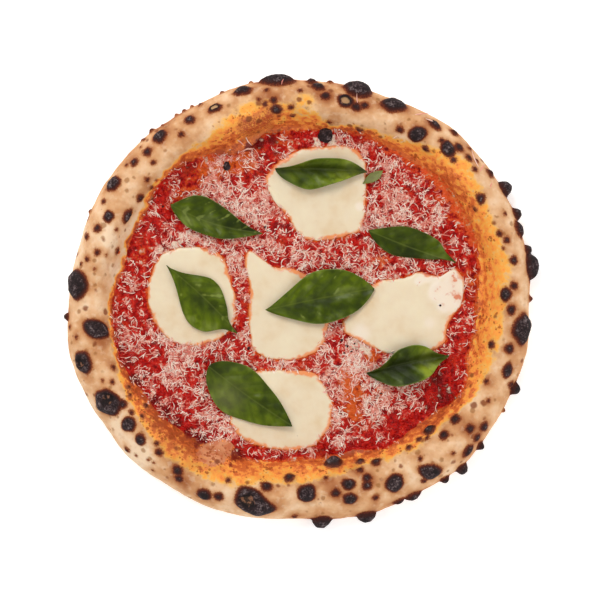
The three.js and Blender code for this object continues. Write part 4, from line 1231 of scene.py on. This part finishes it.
# %% Material: tomato sauce
def tomato_sauce():
    material, tree, place, (slow, middle, fine), kept = start_material(
        "crushed_tomato", (13, 3.6, 1.3), ("rim", "oily", "deep", "pool", "cheese", "milk"))
    rim, oily, deep, pool, cheese, milk = kept
    uneven = add(tree, "Math", [middle, 2.4, -1.2], operation="MULTIPLY_ADD")
    rim, oily, deep, milk = (add(tree, "Math", [number, uneven], operation="ADD")
                             for number in (rim, oily, deep, milk))
    near_pool = add(tree, "Math", [middle, -5.0, pool], operation="MULTIPLY_ADD")
    crumbs = add(tree, "Math", [middle, fine], operation="ADD")
    crumbs = add(tree, "Math", [cheese, 0.4, crumbs], operation="MULTIPLY_ADD")
    moved = shaken(tree, place, 4.0, 1.5)
    web = add(tree, "Math", [threads(tree, place, 3.4, cheese), threads(tree, moved, 2.6, cheese)],
              operation="MAXIMUM")

    red = add(tree, "ValToRGB", [middle], stops=[(0.3, "#740405"), (0.48, "#b4120c"), (0.68, "#d02c18")])
    red = coats(
        tree, red,
        ("#c2401a", slow, 0.56, 0.74, 0.5),  # where it lies thin
        ("#7a0708", fine, 0.46, 0.36, 0.7),  # hollows in the pulp
        ("#cf5a1c", oily, 0.25, 0.9, 0.85),  # oil on it
        ("#d95424", rim, 0.2, 0.75, 0.9),  # its thin edge
        ("#d9773a", rim, 0.85, 1.2, 0.9),
        # painted shade in the creases against the dough
        ("#5a0606", deep, 0.25, 0.8, 0.85),  # dark creases
        ("#df5f1f", near_pool, -0.9, -2.2, 0.7),  # oil round the mozzarella
        ("#e89a84", crumbs, 1.26, 1.42, 0.85),
        ("#e9d6bf", milk, 0.25, 0.7, 0.85),
        ("#efc4b0", web, -0.003, 0.014, 0.85))
    height = add(tree, "Math", [web, 6.0, middle], operation="MULTIPLY_ADD")
    finish_material(tree, red, 0.25, height, bump_mm=0.8, specular=0.13,
                    soft=(0.1, 1.0, (1.0, 0.12, 0.05)))
    return material


# %% [markdown]
# ### Mozzarella and grated cheese
#
# Melted mozzarella is smooth, creamy and a little translucent. Light goes in and comes out again,
# so it needs subsurface scattering. Its edge is thin, and the oil colours it orange. The grated
# cheese is harder and whiter, and goes pink where the sauce soaks it.

# %% Materials: cheeses
def mozzarella():
    material, tree, place, (slow, middle, fine), (inside, smear) = start_material(
        "melted_mozzarella", (14, 3.2, 1.2), ("inside", "smear"))
    streaks = add(tree, "Math", [middle, 3.4, smear], operation="MULTIPLY_ADD")
    inside = add(tree, "Math", [middle, -4.0, inside], operation="MULTIPLY_ADD")
    inside = add(tree, "Math", [slow, -10.0, inside], operation="MULTIPLY_ADD")
    dots = freckles(tree, shaken(tree, place, 1.5, 0.5), 11, 0.6, 0.5)
    cream = add(tree, "ValToRGB", [slow], stops=[(0.3, "#e2d3b5"), (0.5, "#dfcdaf"), (0.7, "#d9c19d")])
    cream = coats(
        tree, cream,
        ("#e9dac8", smear, 0.05, 0.4, 0.8),  # whey
        ("#dda98c", smear, 0.55, 1.7, 0.6),  # with a little sauce in it
        ("#cf6a3e", streaks, 2.6, 3.2, 0.8),
        ("#e38444", inside, -4.9, -6.9, 0.9),  # oil on the thin edge
        ("#8d7a52", dots, -0.02, 0.05, 0.5))
    height = add(tree, "Math", [fine, 0.25, middle], operation="MULTIPLY_ADD")
    finish_material(tree, cream, 0.32, height, bump_mm=0.12, specular=0.4,
                    soft=(0.3, 2.5, (1.0, 0.8, 0.5)))
    return material


def grated_cheese():
    material, tree, _, (patch,), (melt,) = start_material(
        "grated_hard_cheese", (10,), ("melt",), detail=2.0)
    melt = add(tree, "Math", [melt, patch], operation="ADD")
    melt = add(tree, "Math", [melt, 0.6], operation="MULTIPLY")
    tint = add(tree, "ValToRGB", [melt], stops=[
        (0.3, "#f8e2d2"), (0.5, "#f3c9b8"), (0.7, "#e79c8a"), (0.9, "#d0584a")])
    finish_material(tree, tint, 0.4, specular=0.3, soft=(0.2, 0.6, (1.0, 0.5, 0.4)))
    return material


# %% [markdown]
# ### Basil
#
# A basil leaf is deep green and waxy above, with paler veins. The wax gives it a soft, wide sheen,
# part of which is painted into its colour, as are shade and highlights on its puckers and veins.
# The veins follow the leaf, so they come from the numbers kept on its vertices: how far it is to
# the midrib and across the leaf, and the place between two side veins.

# %% Material: basil
def basil():
    material, tree, _, (slow, pucker, fine), kept = start_material(
        "basil_leaf", (14, 7, 1.2),
        ("tone", "from_vein", "off_rib", "across", "valley", "veined", "dull"), detail=2.0)
    tone, from_vein, off_rib, across, valley, veined, dull = kept
    tone = add(tree, "Math", [tone, slow], operation="ADD")
    tone = add(tree, "Math", [tone, 0.66], operation="MULTIPLY")
    from_vein = add(tree, "Math", [pucker, 1.3, from_vein], operation="MULTIPLY_ADD")
    from_vein = add(tree, "Math", [from_vein, veined], operation="MULTIPLY")
    edge = add(tree, "Math", [across], operation="ABSOLUTE")
    green = add(tree, "ValToRGB", [tone], stops=[
        (0.35, "#222c04"), (0.52, "#374405"), (0.7, "#556509"), (0.9, "#828f24")])

    # Between two veins the leaf is puckered: some puckers get painted shade, and others a painted
    # highlight.
    green = coats(
        tree, green,
        ("#1c2606", pucker, 0.5, 0.34, 0.35),
        ("#8a9630", pucker, 0.54, 0.7, 0.1),
        # painted shade beside a side vein
        ("#202b06", from_vein, 0.8, 0.98, 0.3),  # beside a side vein
        # the paler vein, with a painted highlight along it
        ("#95a14c", from_vein, 1.09, 1.25, 0.4),  # the vein
        ("#8b964a", off_rib, 0.7, 0.1, 0.18),  # the midrib
        # painted sheen, where the wax would shine
        ("#7f8a5c", slow, 0.55, 0.72, 0.2),  # bloom of the wax
        # painted sheen: a greyish veil of reflected light
        ("#7d7a58", dull, 0.0, 2.0, 0.7),  # withered or floury
        ("#7f8f45", edge, 0.95, 1.0, 0.5),
        ("#1b2104", valley, 0.0, 1.2, 0.8))  # shade in the fold
    waxy = add(tree, "MapRange", [slow, 0.45, 0.62, 0.46, 0.3])
    height = add(tree, "Math", [fine, 0.2, pucker], operation="MULTIPLY_ADD")
    finish_material(tree, green, waxy, height, bump_mm=0.5, specular=0.12,
                    soft=(0.05, 1.0, (0.3, 0.8, 0.1)))
    return material


# %% Dress the pieces
def dress(piece, material, slot, *nodes):
    """Gives a piece its material and its body, and hides the solids that it stands for. Its slot is not
    used.
    """
    piece.data.materials.clear()
    piece.data.materials.append(material)
    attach(piece, "root")
    if nodes:
        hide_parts(*nodes)


dough_finish = baked_dough()
dress(crust, dough_finish, "baked_dough", "crust")
for piece in (flakes, *charred_lumps):
    dress(piece, dough_finish, "baked_dough")
dress(sauce, tomato_sauce(), "tomato_sauce", "tomato_sauce")
cheese_finish = mozzarella()
for name, piece in pools.items():
    dress(piece, cheese_finish, "mozzarella", name)
grated_finish = grated_cheese()
for piece in (*grated, stray_threads):
    dress(piece, grated_finish, "mozzarella")
leaf_finish = basil()
for name, piece in leaves.items():
    dress(piece, leaf_finish, "basil", name)
print("The kinds of finish:", ", ".join(material.name for material in bpy.data.materials if material.users))

# %% [markdown]
# ## Floor, light and camera
#
# The pizza lies on a plain white table, under one large soft light from the upper left, a weaker
# one across from it and a bright even sky. The camera looks straight down through a long lens, so
# that the rim isn't bent outwards. These sizes are in metres, and the lights' power is in watts.

# %% Floor, light and camera
FLOOR_SIZE = 6
FLOOR_DROP = 0.0005
FRAME_WIDTH = 0.384  # how much the camera sees from left to right, at half the rim's height
CAMERA_HEIGHT = 1.6
SENSOR_MM = 36


def plain_floor():
    floor = primitive(bpy.ops.mesh.primitive_plane_add, "table",
                      size=FLOOR_SIZE, location=(0, 0, -FLOOR_DROP))
    material, tree, *_ = start_material("white_table")
    glow = {"Emission Color": (1, 1, 1, 1), "Emission Strength": 0.3}
    finish_material(tree, colour("#ffffff"), 0.9, **glow)
    floor.data.materials.append(material)


def soft_light(name, place, size, power):
    data = bpy.data.lights.new(name, "AREA")
    data.shape = "DISK"
    data.size = size
    data.energy = power
    lamp = new_object(name, data, place)
    lamp.rotation_euler = (-Vector(place)).to_track_quat("-Z", "Y").to_euler()


plain_floor()
soft_light("window", (-0.6, 1.0, 1.3), size=0.9, power=14)
soft_light("fill", (0.9, -0.7, 1.1), size=1.6, power=7)

# The sky is bright all round but dim straight above, so wet level places reflect little of it.
sky = bpy.data.worlds.new("sky")
sky.use_nodes = True
upward = add(sky.node_tree, "SeparateXYZ", [add(sky.node_tree, "TexCoord", out="Generated")], "Z")
glow = add(sky.node_tree, "MapRange", [upward, 0.8, 0.96, 0.85, 0.2], interpolation_type="SMOOTHSTEP")
background = sky.node_tree.nodes["Background"]
background.inputs["Color"].default_value = (1, 1, 1, 1)
sky.node_tree.links.new(glow, background.inputs["Strength"])
bpy.context.scene.world = sky
bpy.context.scene.view_settings.view_transform = "Standard"

lens = bpy.data.cameras.new("camera")
lens.sensor_width = SENSOR_MM
lens.lens = SENSOR_MM * CAMERA_HEIGHT / FRAME_WIDTH
camera = new_object("camera", lens, (0, 0, CAMERA_HEIGHT + CREST_HEIGHT / 2 * MM))
bpy.context.scene.camera = camera
print("The lens is", round(lens.lens), "mm long")
